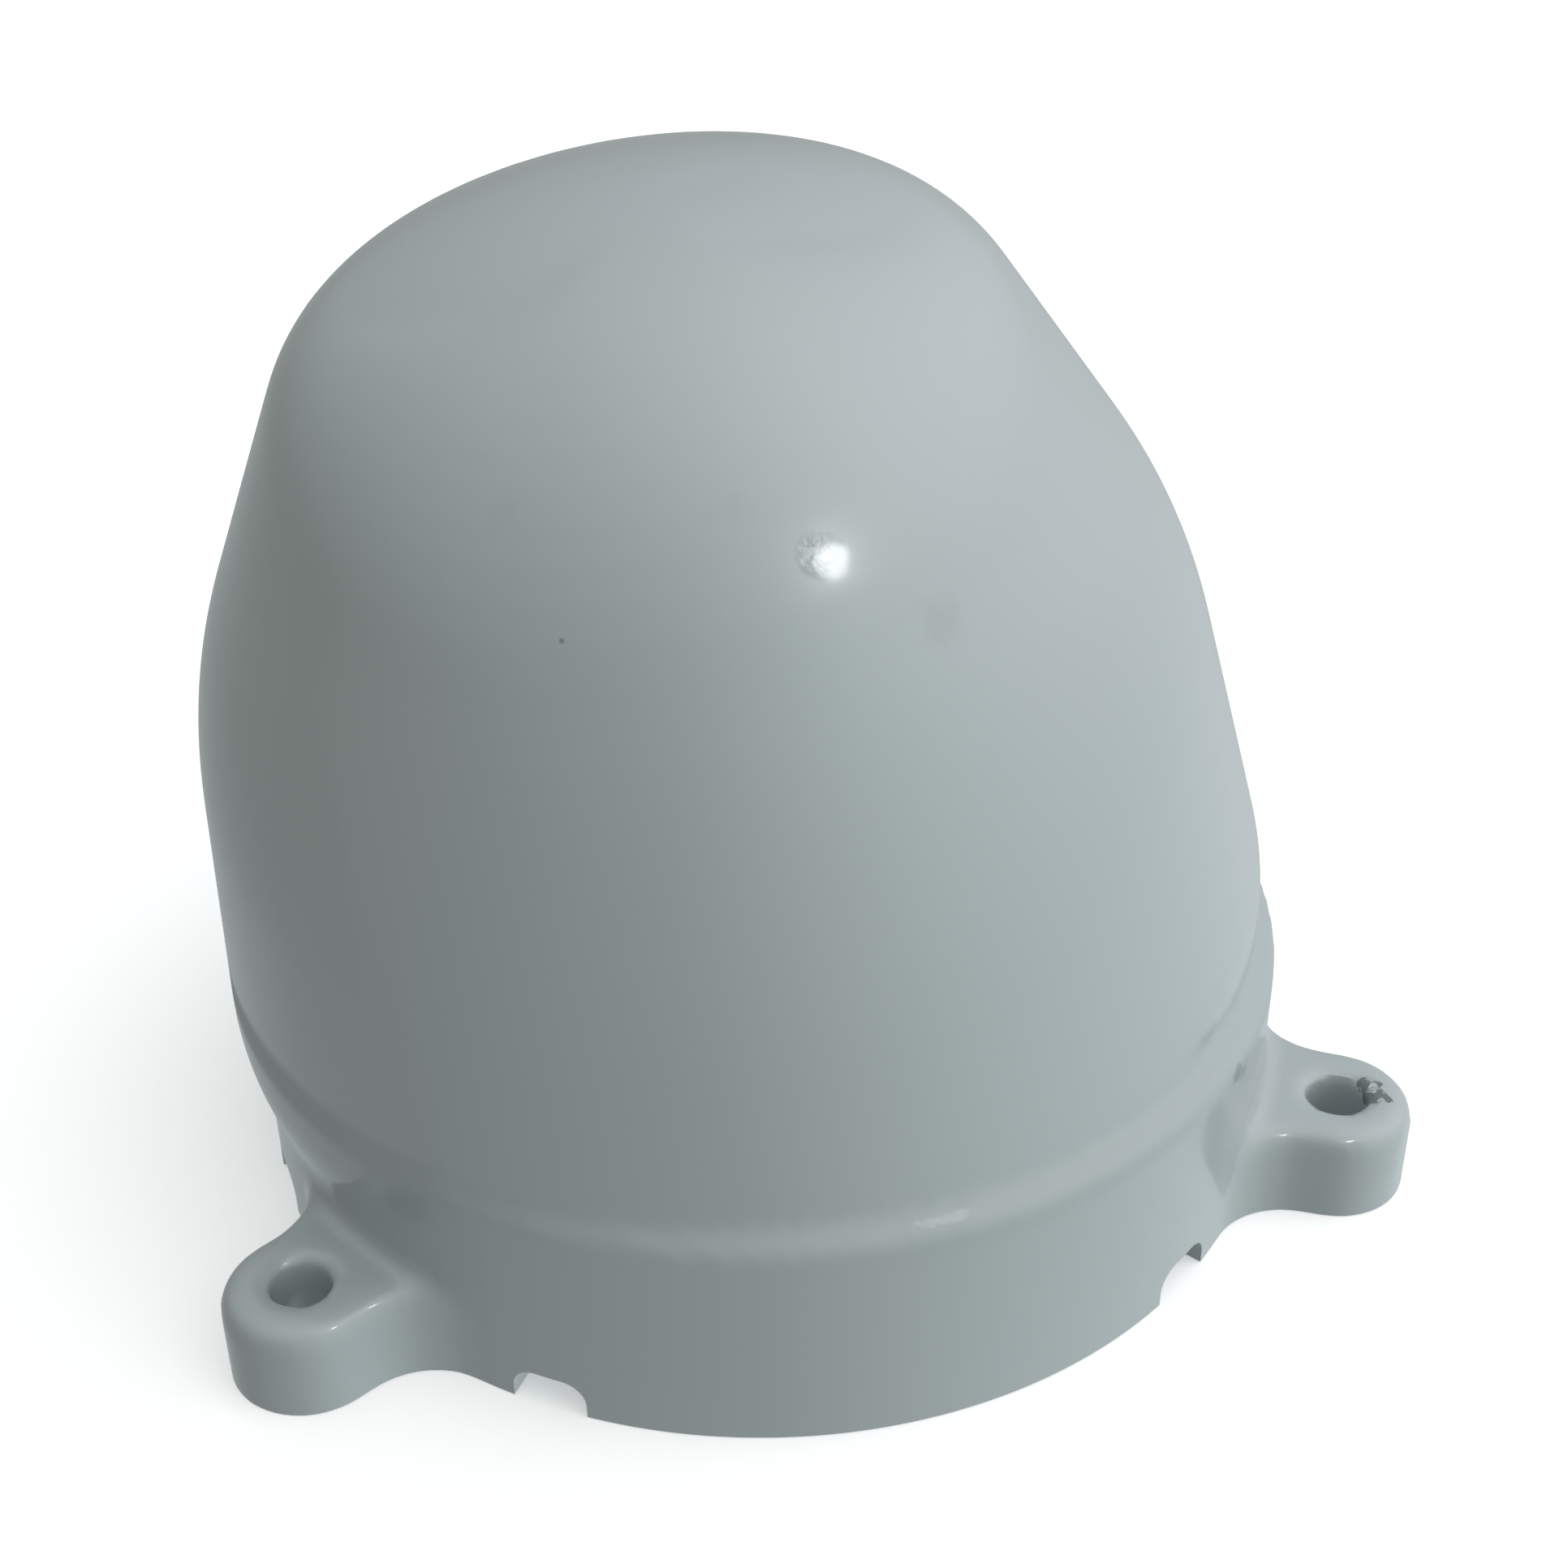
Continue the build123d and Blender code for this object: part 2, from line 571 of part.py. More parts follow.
# Yoke: a foot on the turntable and two cheeks that hold the tilt pins
with BuildPart() as antenna_yoke:
    with BuildSketch(turntable_top):
        Rectangle(2 * YOKE_HALF_WIDTH, YOKE_DEPTH)
        Circle(NUT_ACROSS / 2 + 3, mode=Mode.SUBTRACT)
        with Locations(*yoke_screw_points):
            Circle(SMALL_SCREW_D / 2 + SCREW_GAP, mode=Mode.SUBTRACT)
    extrude(amount=YOKE_THICK)
    for cheek_start in (-YOKE_HALF_WIDTH, CHEEK_INNER):
        with BuildSketch(Plane.YZ.offset(cheek_start)):
            with Locations(((CHEEK_BACK - CHEEK_FRONT) / 2, (TURNTABLE_TOP + TILT_AXIS_Z) / 2)):
                Rectangle(CHEEK_FRONT + CHEEK_BACK, TILT_AXIS_ABOVE_TURNTABLE)
            with Locations((0, TILT_AXIS_Z)):
                Circle(LUG_R)
                Circle(PIN_R + RUNNING_GAP, mode=Mode.SUBTRACT)
        extrude(amount=YOKE_THICK)
save(antenna_yoke.part, "antenna_yoke")

yoke_top = Plane.XY.offset(TURNTABLE_TOP + YOKE_THICK)
screw_set(yoke_top, yoke_screw_points, SMALL_SCREW_D, YOKE_THICK + TURNTABLE_THICK - 0.5, "yoke_screws")

# Tilting antenna: a tray on two lugs, its board and patches, its pins and its toothed sector
tray_screw_points = [
    (x, TILT_AXIS_Z + z)
    for x in (-TRAY_SCREW_SPREAD_X, TRAY_SCREW_SPREAD_X)
    for z in (-TRAY_SCREW_SPREAD_Z, TRAY_SCREW_SPREAD_Z)
]
sector_screw_points = [polar(SECTOR_SCREW_CIRCLE_R, angle) for angle in (90, 200)]
with BuildPart() as antenna_tray:
    with BuildSketch(Plane.XZ.offset(TRAY_BACK)):
        with Locations((0, TILT_AXIS_Z)):
            RectangleRounded(TRAY_WIDTH, TRAY_HEIGHT, 4)
    extrude(amount=TRAY_DEPTH)
    with BuildSketch(Plane.XZ.offset(TRAY_BACK + TRAY_WALL)):
        with Locations((0, TILT_AXIS_Z)):
            RectangleRounded(TRAY_WIDTH - 2 * TRAY_WALL, TRAY_HEIGHT - 2 * TRAY_WALL, 2.5)
    extrude(amount=TRAY_DEPTH, mode=Mode.SUBTRACT)
    with BuildSketch(Plane.XZ.offset(TRAY_BACK)):
        with Locations(*tray_screw_points):
            Circle(TRAY_SCREW_D / 2 + FIXED_GAP)
    extrude(amount=TRAY_WALL, mode=Mode.SUBTRACT)
    for lug_start in (-LUG_OUTER, LUG_INNER):
        with BuildSketch(Plane.YZ.offset(lug_start)):
            with Locations((-TRAY_BACK / 2 - 0.5, TILT_AXIS_Z)):
                Rectangle(TRAY_BACK + 1, 2 * LUG_R)
            with Locations((0, TILT_AXIS_Z)):
                Circle(LUG_R)
                Circle(PIN_R + FIXED_GAP, mode=Mode.SUBTRACT)
        extrude(amount=LUG_THICK)
    with BuildSketch(side_plane(LUG_INNER, 0, TILT_AXIS_Z)):
        with Locations(*sector_screw_points):
            Circle(SECTOR_SCREW_D / 2 + FIXED_GAP)
    extrude(amount=LUG_THICK, mode=Mode.SUBTRACT)
save(antenna_tray.part, "antenna_tray")

with BuildPart() as array_board:
    with BuildSketch(Plane.XZ.offset(TRAY_BACK + TRAY_WALL)):
        with Locations((0, TILT_AXIS_Z)):
            RectangleRounded(TRAY_WIDTH - 2 * TRAY_WALL - 0.6, TRAY_HEIGHT - 2 * TRAY_WALL - 0.6, 2.2)
        with Locations(*tray_screw_points):
            Circle(TRAY_SCREW_D / 2 + SCREW_GAP, mode=Mode.SUBTRACT)
    extrude(amount=BOARD_THICK)
save(array_board.part, "array_board")

board_face = Plane.XZ.offset(TRAY_BACK + TRAY_WALL + BOARD_THICK)
with BuildPart() as array_patches:
    with BuildSketch(board_face):
        with Locations((0, TILT_AXIS_Z)):
            with GridLocations(PATCH_PITCH, PATCH_PITCH, PATCH_COLUMNS, PATCH_ROWS):
                Rectangle(PATCH_SIZE, PATCH_SIZE)
    extrude(amount=PATCH_THICK)
save(array_patches.part, "array_patches")
screw_set(board_face, tray_screw_points, TRAY_SCREW_D, BOARD_THICK + 0.5 * TRAY_WALL, "tray_screws")

coupler_at = (COUPLER_AT[0], TILT_AXIS_Z + COUPLER_AT[1])
with BuildPart() as feed_coupler:
    with BuildSketch(Plane.XZ.offset(TRAY_BACK)):
        with Locations(coupler_at):
            Rectangle(COUPLER_WIDTH, COUPLER_HEIGHT)
    extrude(amount=-COUPLER_DEPTH)
    with BuildSketch(Plane.XZ.offset(TRAY_BACK - COUPLER_DEPTH)):
        with Locations(coupler_at):
            Circle(COUPLER_PORT_R)
    extrude(amount=-COUPLER_PORT_LENGTH)
save(feed_coupler.part, "feed_coupler")

with BuildPart() as tilt_pins:
    for side in (-1, 1):
        with BuildSketch(Plane.YZ.offset(side * (LUG_INNER + 0.5))):
            with Locations((0, TILT_AXIS_Z)):
                Circle(PIN_R)
        extrude(amount=side * (YOKE_HALF_WIDTH + FACE_GAP - LUG_INNER - 0.5))
        with BuildSketch(Plane.YZ.offset(side * (YOKE_HALF_WIDTH + FACE_GAP))):
            with Locations((0, TILT_AXIS_Z)):
                Circle(PIN_HEAD_R)
        extrude(amount=side * PIN_HEAD_THICK)
save(tilt_pins.part, "tilt_pins")

# Toothed sector, screwed to the lug
with BuildPart() as tilt_sector:
    with BuildSketch(side_plane(SECTOR_SIDE, 0, TILT_AXIS_Z)):
        Circle(root_radius(SECTOR_TEETH))
        Polygon(
            (0, 0),
            polar(40, SECTOR_FIRST_TOOTH - 6),
            polar(60, TILT_DRIVE_ANGLE + 15),
            polar(40, SECTOR_FIRST_TOOTH + (SECTOR_TOOTH_COUNT - 1) * SECTOR_TOOTH_ANGLE + 6),
            align=None,
            mode=Mode.INTERSECT,
        )
        Circle(LUG_R)
        add_teeth(SECTOR_TEETH, SECTOR_FIRST_TOOTH, SECTOR_TOOTH_COUNT)
        Circle(PIN_R + FIXED_GAP, mode=Mode.SUBTRACT)
        with Locations(*sector_screw_points):
            Circle(SECTOR_SCREW_D / 2 + FIXED_GAP, mode=Mode.SUBTRACT)
    extrude(amount=SECTOR_THICK)
save(tilt_sector.part, "tilt_sector")

sector_face = Plane(origin=(SECTOR_SIDE, 0, TILT_AXIS_Z), x_dir=(0, -1, 0), z_dir=(-1, 0, 0))
sector_screws_from_inside = [(-y, z) for y, z in sector_screw_points]
sector_screw_length = SECTOR_THICK + LUG_THICK / 2
screw_set(sector_face, sector_screws_from_inside, SECTOR_SCREW_D, sector_screw_length, "sector_screws")

# Tilt motor, lying in a saddle behind the shaft nut
tilt_pinion_y, tilt_pinion_rise = polar(TILT_PINION_DISTANCE, TILT_DRIVE_ANGLE)
tilt_motor_axis = side_plane(0, tilt_pinion_y, TILT_AXIS_Z + tilt_pinion_rise)
with BuildPart() as tilt_motor:
    with BuildSketch(tilt_motor_axis.offset(TILT_MOTOR_END - TILT_MOTOR_LENGTH)):
        Circle(TILT_MOTOR_R)
    extrude(amount=TILT_MOTOR_LENGTH)
    with BuildSketch(tilt_motor_axis.offset(TILT_MOTOR_END - MOTOR_BORE_DEPTH)):
        Circle(MOTOR_SHAFT_R + RUNNING_GAP)
    extrude(amount=MOTOR_BORE_DEPTH, mode=Mode.SUBTRACT)
save(tilt_motor.part, "tilt_motor")

with BuildPart() as tilt_motor_shaft:
    with BuildSketch(tilt_motor_axis.offset(TILT_MOTOR_END - MOTOR_BORE_DEPTH + FACE_GAP)):
        Circle(MOTOR_SHAFT_R)
    extrude(amount=MOTOR_BORE_DEPTH + SECTOR_SIDE - TILT_MOTOR_END + SECTOR_THICK)
save(tilt_motor_shaft.part, "tilt_motor_shaft")

with BuildPart() as tilt_pinion:
    with BuildSketch(tilt_motor_axis.offset(SECTOR_SIDE)):
        Circle(root_radius(TILT_PINION_TEETH))
        add_teeth(TILT_PINION_TEETH, 0, TILT_PINION_TEETH)
        Circle(MOTOR_SHAFT_R + FIXED_GAP, mode=Mode.SUBTRACT)
    extrude(amount=SECTOR_THICK)
save(tilt_pinion.part, "tilt_pinion")

saddle_front = YOKE_DEPTH / 2 + FACE_GAP
saddle_back = saddle_front + SADDLE_REACH
saddle_top = TILT_AXIS_Z + tilt_pinion_rise - 3
with BuildPart() as tilt_motor_saddle:
    with BuildSketch(turntable_top):
        with Locations((TILT_MOTOR_END - TILT_MOTOR_LENGTH / 2, (saddle_front + saddle_back) / 2)):
            Rectangle(TILT_MOTOR_LENGTH, saddle_back - saddle_front)
        with Locations(*saddle_screw_points):
            Circle(SMALL_SCREW_D / 2 + SCREW_GAP, mode=Mode.SUBTRACT)
    extrude(amount=SADDLE_THICK)
    with BuildSketch(turntable_top):
        with Locations((TILT_MOTOR_END - TILT_MOTOR_LENGTH / 2, saddle_front + TILT_MOTOR_R - SADDLE_SIDE)):
            Rectangle(TILT_MOTOR_LENGTH - 10, 2 * (TILT_MOTOR_R - SADDLE_SIDE))
    extrude(amount=saddle_top - TURNTABLE_TOP)
    with BuildSketch(tilt_motor_axis.offset(TILT_MOTOR_END - TILT_MOTOR_LENGTH)):
        Circle(TILT_MOTOR_R + FIXED_GAP)
    extrude(amount=TILT_MOTOR_LENGTH, mode=Mode.SUBTRACT)
save(tilt_motor_saddle.part, "tilt_motor_saddle")
saddle_top_face = Plane.XY.offset(TURNTABLE_TOP + SADDLE_THICK)
saddle_screw_length = SADDLE_THICK + TURNTABLE_THICK - 0.5
screw_set(saddle_top_face, saddle_screw_points, SMALL_SCREW_D, saddle_screw_length, "saddle_screws")

# Azimuth motor and its pinion, beside the pedestal
with BuildPart() as azimuth_motor:
    with BuildSketch(Plane.XY.offset(PLATE_TOP)):
        with Locations(azimuth_motor_at):
            Circle(AZIMUTH_MOTOR_R)
            SlotCenterToCenter(2 * MOTOR_SCREW_SPREAD, 7, rotation=90)
        with Locations(*motor_screw_points):
            Circle(SMALL_SCREW_D / 2 + SCREW_GAP, mode=Mode.SUBTRACT)
    extrude(amount=MOTOR_FLANGE_THICK)
    with BuildSketch(Plane.XY.offset(PLATE_TOP)):
        with Locations(azimuth_motor_at):
            Circle(AZIMUTH_MOTOR_R)
    extrude(amount=AZIMUTH_MOTOR_HEIGHT)
    with BuildSketch(Plane.XY.offset(MOTOR_TOP - MOTOR_BORE_DEPTH)):
        with Locations(azimuth_motor_at):
            Circle(MOTOR_SHAFT_R + RUNNING_GAP)
    extrude(amount=MOTOR_BORE_DEPTH, mode=Mode.SUBTRACT)
save(azimuth_motor.part, "azimuth_motor")
motor_flange_top = Plane.XY.offset(PLATE_TOP + MOTOR_FLANGE_THICK)
motor_screw_length = MOTOR_FLANGE_THICK + SMALL_SCREW_BITE
screw_set(motor_flange_top, motor_screw_points, SMALL_SCREW_D, motor_screw_length, "azimuth_motor_screws")

with BuildPart() as azimuth_motor_shaft:
    with BuildSketch(Plane.XY.offset(MOTOR_TOP - MOTOR_BORE_DEPTH + FACE_GAP)):
        with Locations(azimuth_motor_at):
            Circle(MOTOR_SHAFT_R)
    extrude(amount=TURNTABLE_BASE - MOTOR_TOP + MOTOR_BORE_DEPTH - 2 * FACE_GAP)
save(azimuth_motor_shaft.part, "azimuth_motor_shaft")

with BuildPart() as azimuth_pinion:
    with BuildSketch(Plane((*azimuth_motor_at, GEAR_BASE))):
        Circle(root_radius(PINION_TEETH))
        add_teeth(PINION_TEETH, 180 / PINION_TEETH, PINION_TEETH)
        Circle(MOTOR_SHAFT_R + FIXED_GAP, mode=Mode.SUBTRACT)
    extrude(amount=GEAR_THICK - FACE_GAP)
save(azimuth_pinion.part, "azimuth_pinion")

# Main board on its standoffs, and what it carries
with BuildPart() as board_standoffs:
    with BuildSketch(Plane.XY.offset(PLATE_TOP)):
        with Locations(*board_screw_points):
            RegularPolygon(STANDOFF_R, 6)
            Circle(SMALL_SCREW_D / 2 + FIXED_GAP, mode=Mode.SUBTRACT)
    extrude(amount=STANDOFF_HEIGHT)
save(board_standoffs.part, "board_standoffs")

with BuildPart() as main_board:
    with BuildSketch(Plane.XY.offset(BOARD_UNDERSIDE)):
        Circle(BOARD_OUTER_R)
        Circle(BOARD_INNER_R, mode=Mode.SUBTRACT)
        with Locations((BOARD_EDGE_X - BOARD_OUTER_R, 0)):
            Rectangle(2 * BOARD_OUTER_R, 2 * BOARD_OUTER_R, mode=Mode.INTERSECT)
        with Locations(*board_screw_points):
            Circle(SMALL_SCREW_D / 2 + SCREW_GAP, mode=Mode.SUBTRACT)
    extrude(amount=BOARD_THICK)
save(main_board.part, "main_board")
board_face_up = Plane.XY.offset(BOARD_TOP)
board_screw_length = BOARD_THICK + STANDOFF_HEIGHT + SMALL_SCREW_BITE
screw_set(board_face_up, board_screw_points, SMALL_SCREW_D, board_screw_length, "board_screws")

with BuildPart() as shield_can:
    with BuildSketch(board_face_up):
        with Locations(CAN_AT):
            RectangleRounded(CAN_WIDTH, CAN_LENGTH, 1.5)
    extrude(amount=CAN_HEIGHT)
    fillet(shield_can.faces().sort_by(Axis.Z)[-1].edges(), 0.8)
save(shield_can.part, "shield_can")

with BuildPart() as board_capacitors:
    with BuildSketch(board_face_up):
        with Locations(*CAPACITORS_AT):
            Circle(CAPACITOR_R)
    extrude(amount=CAPACITOR_HEIGHT)
    fillet(board_capacitors.faces().group_by(Axis.Z)[-1].edges(), 0.6)
save(board_capacitors.part, "board_capacitors")

with BuildPart() as board_header:
    with BuildSketch(board_face_up):
        with Locations(HEADER_AT):
            Rectangle(HEADER_LENGTH, HEADER_WIDTH)
            Rectangle(HEADER_LENGTH - 2 * HEADER_WALL, HEADER_WIDTH - 2 * HEADER_WALL, mode=Mode.SUBTRACT)
    extrude(amount=HEADER_HEIGHT)
    with BuildSketch(board_face_up):
        with Locations(HEADER_AT):
            Rectangle(HEADER_LENGTH, HEADER_WIDTH)
    extrude(amount=HEADER_WALL)
save(board_header.part, "board_header")

# Cable connector through the base plate, with its seal below and its nut above
with BuildPart() as cable_connector:
    with BuildSketch(Plane.XY.offset(PLATE_UNDERSIDE - CONNECTOR_STUB)):
        with Locations(connector_at):
            Circle(CONNECTOR_R)
    extrude(amount=CONNECTOR_STUB + PLATE_THICK + CONNECTOR_INSIDE)
    with BuildSketch(Plane.XY.offset(PLATE_UNDERSIDE - SEAL_THICK - CONNECTOR_FLANGE_THICK)):
        with Locations(connector_at):
            Circle(CONNECTOR_R + CONNECTOR_FLANGE)
    extrude(amount=CONNECTOR_FLANGE_THICK)
    with BuildSketch(Plane.XY.offset(PLATE_UNDERSIDE - CONNECTOR_STUB)):
        with Locations(connector_at):
            Circle(CONNECTOR_R - CONNECTOR_WALL)
    extrude(amount=CONNECTOR_SOCKET_DEPTH, mode=Mode.SUBTRACT)
    with BuildSketch(Plane.XY.offset(PLATE_UNDERSIDE - CONNECTOR_STUB + CONNECTOR_SOCKET_DEPTH)):
        with Locations(connector_at):
            with PolarLocations(PIN_CIRCLE_R, PIN_COUNT):
                Circle(CONTACT_PIN_R)
    extrude(amount=-CONTACT_PIN_LENGTH)
save(cable_connector.part, "cable_connector")

with BuildPart() as connector_seal:
    with BuildSketch(Plane.XY.offset(PLATE_UNDERSIDE - SEAL_THICK)):
        with Locations(connector_at):
            Circle(CONNECTOR_R + 2.2)
            Circle(CONNECTOR_R + FIXED_GAP, mode=Mode.SUBTRACT)
    extrude(amount=SEAL_THICK)
save(connector_seal.part, "connector_seal")

with BuildPart() as connector_nut:
    with BuildSketch(Plane.XY.offset(PLATE_TOP)):
        with Locations(connector_at):
            RegularPolygon(CONNECTOR_R + CONNECTOR_FLANGE, 6, major_radius=False)
            Circle(CONNECTOR_R + FIXED_GAP, mode=Mode.SUBTRACT)
    extrude(amount=CONNECTOR_NUT_THICK)
save(connector_nut.part, "connector_nut")

with BuildPart() as vent_plug:
    with BuildSketch(Plane.XY.offset(PLATE_UNDERSIDE)):
        with Locations(vent_at):
            Circle(VENT_R)
    extrude(amount=PLATE_THICK)
    with BuildSketch(Plane.XY.offset(PLATE_TOP)):
        with Locations(vent_at):
            Circle(VENT_R + VENT_LIP)
    extrude(amount=VENT_CAP_THICK)
    with BuildSketch(Plane.XY.offset(PLATE_UNDERSIDE)):
        with Locations(vent_at):
            with PolarLocations(VENT_HOLE_CIRCLE_R, 4):
                Circle(VENT_HOLE_R)
    extrude(amount=PLATE_THICK - 0.8, mode=Mode.SUBTRACT)
save(vent_plug.part, "vent_plug")

# Index sensor on a post, just outside the gear and just under the magnet's path
with BuildPart() as index_sensor:
    with BuildSketch(Plane.XY.offset(PLATE_TOP)):
        with Locations(sensor_at):
            Rectangle(8, 5)
    extrude(amount=2.5)
    with BuildSketch(Plane.XY.offset(PLATE_TOP)):
        with Locations(sensor_at):
            Rectangle(5, 2.2)
    extrude(amount=TURNTABLE_BASE - SENSOR_GAP - PLATE_TOP)
    with BuildSketch(Plane.XY.offset(TURNTABLE_BASE - SENSOR_GAP - SENSOR_THICK)):
        with Locations(magnet_at):
            Rectangle(4, 9)
        with Locations((0, 0)):
            Circle(SENSOR_CIRCLE_R - 3.5, mode=Mode.SUBTRACT)
    extrude(amount=SENSOR_THICK)
save(index_sensor.part, "index_sensor")
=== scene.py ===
"""Radar dome antenna: a leaning painted dome on a three-eared ring."""

import logging
import math
from dataclasses import dataclass, field, replace
from enum import Enum
from typing import Callable, Iterable, Mapping, Sequence

import bpy
from mathutils import Matrix, Vector


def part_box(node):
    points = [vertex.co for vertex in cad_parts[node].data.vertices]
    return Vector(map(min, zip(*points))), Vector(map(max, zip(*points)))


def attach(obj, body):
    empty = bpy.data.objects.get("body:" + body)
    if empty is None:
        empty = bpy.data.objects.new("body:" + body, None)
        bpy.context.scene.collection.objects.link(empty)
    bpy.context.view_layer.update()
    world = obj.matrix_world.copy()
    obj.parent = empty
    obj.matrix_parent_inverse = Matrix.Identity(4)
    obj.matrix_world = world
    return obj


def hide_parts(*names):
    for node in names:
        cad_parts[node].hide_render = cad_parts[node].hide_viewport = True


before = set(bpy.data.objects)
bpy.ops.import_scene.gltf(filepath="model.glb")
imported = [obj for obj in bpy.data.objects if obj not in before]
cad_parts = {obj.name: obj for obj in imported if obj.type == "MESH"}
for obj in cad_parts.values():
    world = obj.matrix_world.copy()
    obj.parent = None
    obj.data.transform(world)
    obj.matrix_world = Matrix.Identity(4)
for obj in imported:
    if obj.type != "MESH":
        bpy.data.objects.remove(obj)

logging.basicConfig(level=logging.INFO, format="%(message)s")
LOG = logging.getLogger("radar_dome")

MM = 0.001
Colour = tuple[float, float, float]
Place = tuple[float, float, float]
Solid = bpy.types.Object
Finish = bpy.types.Material
Settings = Mapping[str, object]
Inputs = Mapping[object, object]
Test = Callable[[Vector, Vector], bool]
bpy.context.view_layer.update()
TOUCH = 1e-6
UP = Vector((0.0, 0.0, 1.0))
SCREW_ANGLES = range(30, 390, 60)


class Join(Enum):
    """How one solid is combined with another."""

    ADD = "UNION"
    CUT = "DIFFERENCE"


# shader arithmetic


def operator(operation: str, swapped: bool = False) -> Callable[["Sig", object], "Sig"]:
    """Make a method that adds one Math node.

    Args:
        operation: The node's operation.
        swapped: Whether the other value comes first.

    Returns:
        The method.
    """

    def method(self: "Sig", other: object = 0.0) -> "Sig":
        """Return the node's value."""
        first, second = (other, self) if swapped else (self, other)
        node = self.graph.node("ShaderNodeMath", {"operation": operation}, {0: first, 1: second})
        return Sig(self.graph, node.outputs[0])

    return method


class Sig:
    """A shader socket that takes part in Python arithmetic, each operator adding one Math node."""

    __add__, __radd__ = operator("ADD"), operator("ADD", True)
    __sub__, __rsub__ = operator("SUBTRACT"), operator("SUBTRACT", True)
    __mul__, __rmul__ = operator("MULTIPLY"), operator("MULTIPLY", True)
    __truediv__, __rtruediv__ = operator("DIVIDE"), operator("DIVIDE", True)
    __pow__, larger = operator("POWER"), operator("MAXIMUM")
    part, size = operator("FRACT"), operator("ABSOLUTE")

    def __init__(self, graph: "Graph", socket: bpy.types.NodeSocket) -> None:
        """Wrap an output socket of a graph."""
        self.graph = graph
        self.socket = socket

    def span(self, start: float, end: float, low: float = 0.0, high: float = 1.0) -> "Sig":
        """Map the stretch from start to end smoothly onto low to high."""
        node = self.graph.node(
            "ShaderNodeMapRange",
            {"interpolation_type": "SMOOTHSTEP"},
            {0: self, 1: start, 2: end, 3: low, 4: high},
        )
        return Sig(self.graph, node.outputs[0])


class Graph:
    """The node tree of one material, or of the world."""

    def __init__(self, name: str, world: bool = False) -> None:
        """Start an empty material or world of that name."""
        self.block = bpy.data.worlds.new(name) if world else bpy.data.materials.new(name)
        self.block.use_nodes = True
        self.tree = self.block.node_tree
        self.tree.nodes.clear()
        self.place = self.out("ShaderNodeTexCoord", {}, {}, "Generated" if world else "Object")

    def node(self, kind: str, settings: Settings, inputs: Inputs) -> bpy.types.Node:
        """Add a node.

        Args:
            kind: The node's type.
            settings: Its properties, set first.
            inputs: Values or wrapped sockets by socket name or number.

        Returns:
            The new node.
        """
        node = self.tree.nodes.new(kind)
        for key, value in settings.items():
            setattr(node, key, value)
        for key, value in inputs.items():
            socket = node.inputs[key]
            if isinstance(value, Sig):
                self.tree.links.new(value.socket, socket)
            elif isinstance(value, tuple) and len(value) == 3 and socket.type == "RGBA":
                socket.default_value = (*value, 1.0)
            else:
                socket.default_value = value
        return node

    def out(self, kind: str, settings: Settings, inputs: Inputs, output: object = 0) -> Sig:
        """Add a node and return one of its outputs."""
        return Sig(self, self.node(kind, settings, inputs).outputs[output])

    def noise(self, size: float, detail: float = 2.0, stretch: Place = (1.0, 1.0, 1.0)) -> Sig:
        """Return noise of a grain size.

        Args:
            size: Length of one grain, in metres.
            detail: Number of finer octaves.
            stretch: How much the grain is drawn out along each axis.

        Returns:
            A value from 0 to 1.
        """
        scale = tuple(1.0 / (size * s) for s in stretch)
        place = self.out("ShaderNodeMapping", {}, {"Vector": self.place, "Scale": scale})
        return self.out("ShaderNodeTexNoise", {}, {"Vector": place, "Scale": 1.0, "Detail": detail})

    def cells(self, size: float) -> Sig:
        """Return the distance pattern of cells of a size in metres."""
        return self.out("ShaderNodeTexVoronoi", {}, {"Vector": self.place, "Scale": 1.0 / size})

    def vector(self, operation: str, inputs: Inputs, output: object = "Vector") -> Sig:
        """Add a Vector Math node and return one of its outputs."""
        return self.out("ShaderNodeVectorMath", {"operation": operation}, inputs, output)

    def near(
        self, point: Sequence[float], inner: float, outer: float, wobble: Sig | None = None
    ) -> Sig:
        """Return a mask that is 1 within inner of a point and 0 past outer.

        Args:
            point: The spot's centre, in metres.
            inner: Radius of the full mask.
            outer: Radius where it ends.
            wobble: Added to the distance, to break up the spot's edge.

        Returns:
            The mask.
        """
        away = self.vector("DISTANCE", {0: self.place, 1: tuple(point)}, "Value")
        if wobble is not None:
            away = away + wobble
        return away.span(inner, outer, 1.0, 0.0)

    def axis(self, name: str) -> Sig:
        """Return one of the object coordinates, by X, Y or Z."""
        return self.out("ShaderNodeSeparateXYZ", {}, {0: self.place}, name)

    def mix(self, factor: object, first: object, second: object) -> Sig:
        """Blend two colours by the share of the second."""
        inputs = {0: factor, 6: first, 7: second}
        return self.out("ShaderNodeMix", {"data_type": "RGBA", "blend_type": "MIX"}, inputs, 2)

    def bump(self, height: Sig, distance: float, under: Sig | None = None) -> Sig:
        """Return the normal of a height pattern.

        Args:
            height: The pattern, from 0 to 1.
            distance: Its depth in metres.
            under: A normal that this one is laid on.

        Returns:
            The normal.
        """
        inputs: dict[object, object] = {"Strength": 1.0, "Distance": distance, "Height": height}
        if under is not None:
            inputs["Normal"] = under
        return self.out("ShaderNodeBump", {}, inputs)

    def close(self, inputs: Inputs) -> Finish:
        """Finish the material with one surface shader.

        Args:
            inputs: The shader's values or wrapped sockets.

        Returns:
            The finished material.
        """
        shader = self.node("ShaderNodeBsdfPrincipled", {}, inputs)
        output = self.node("ShaderNodeOutputMaterial", {}, {})
        self.tree.links.new(shader.outputs[0], output.inputs[0])
        return self.block


# finishes


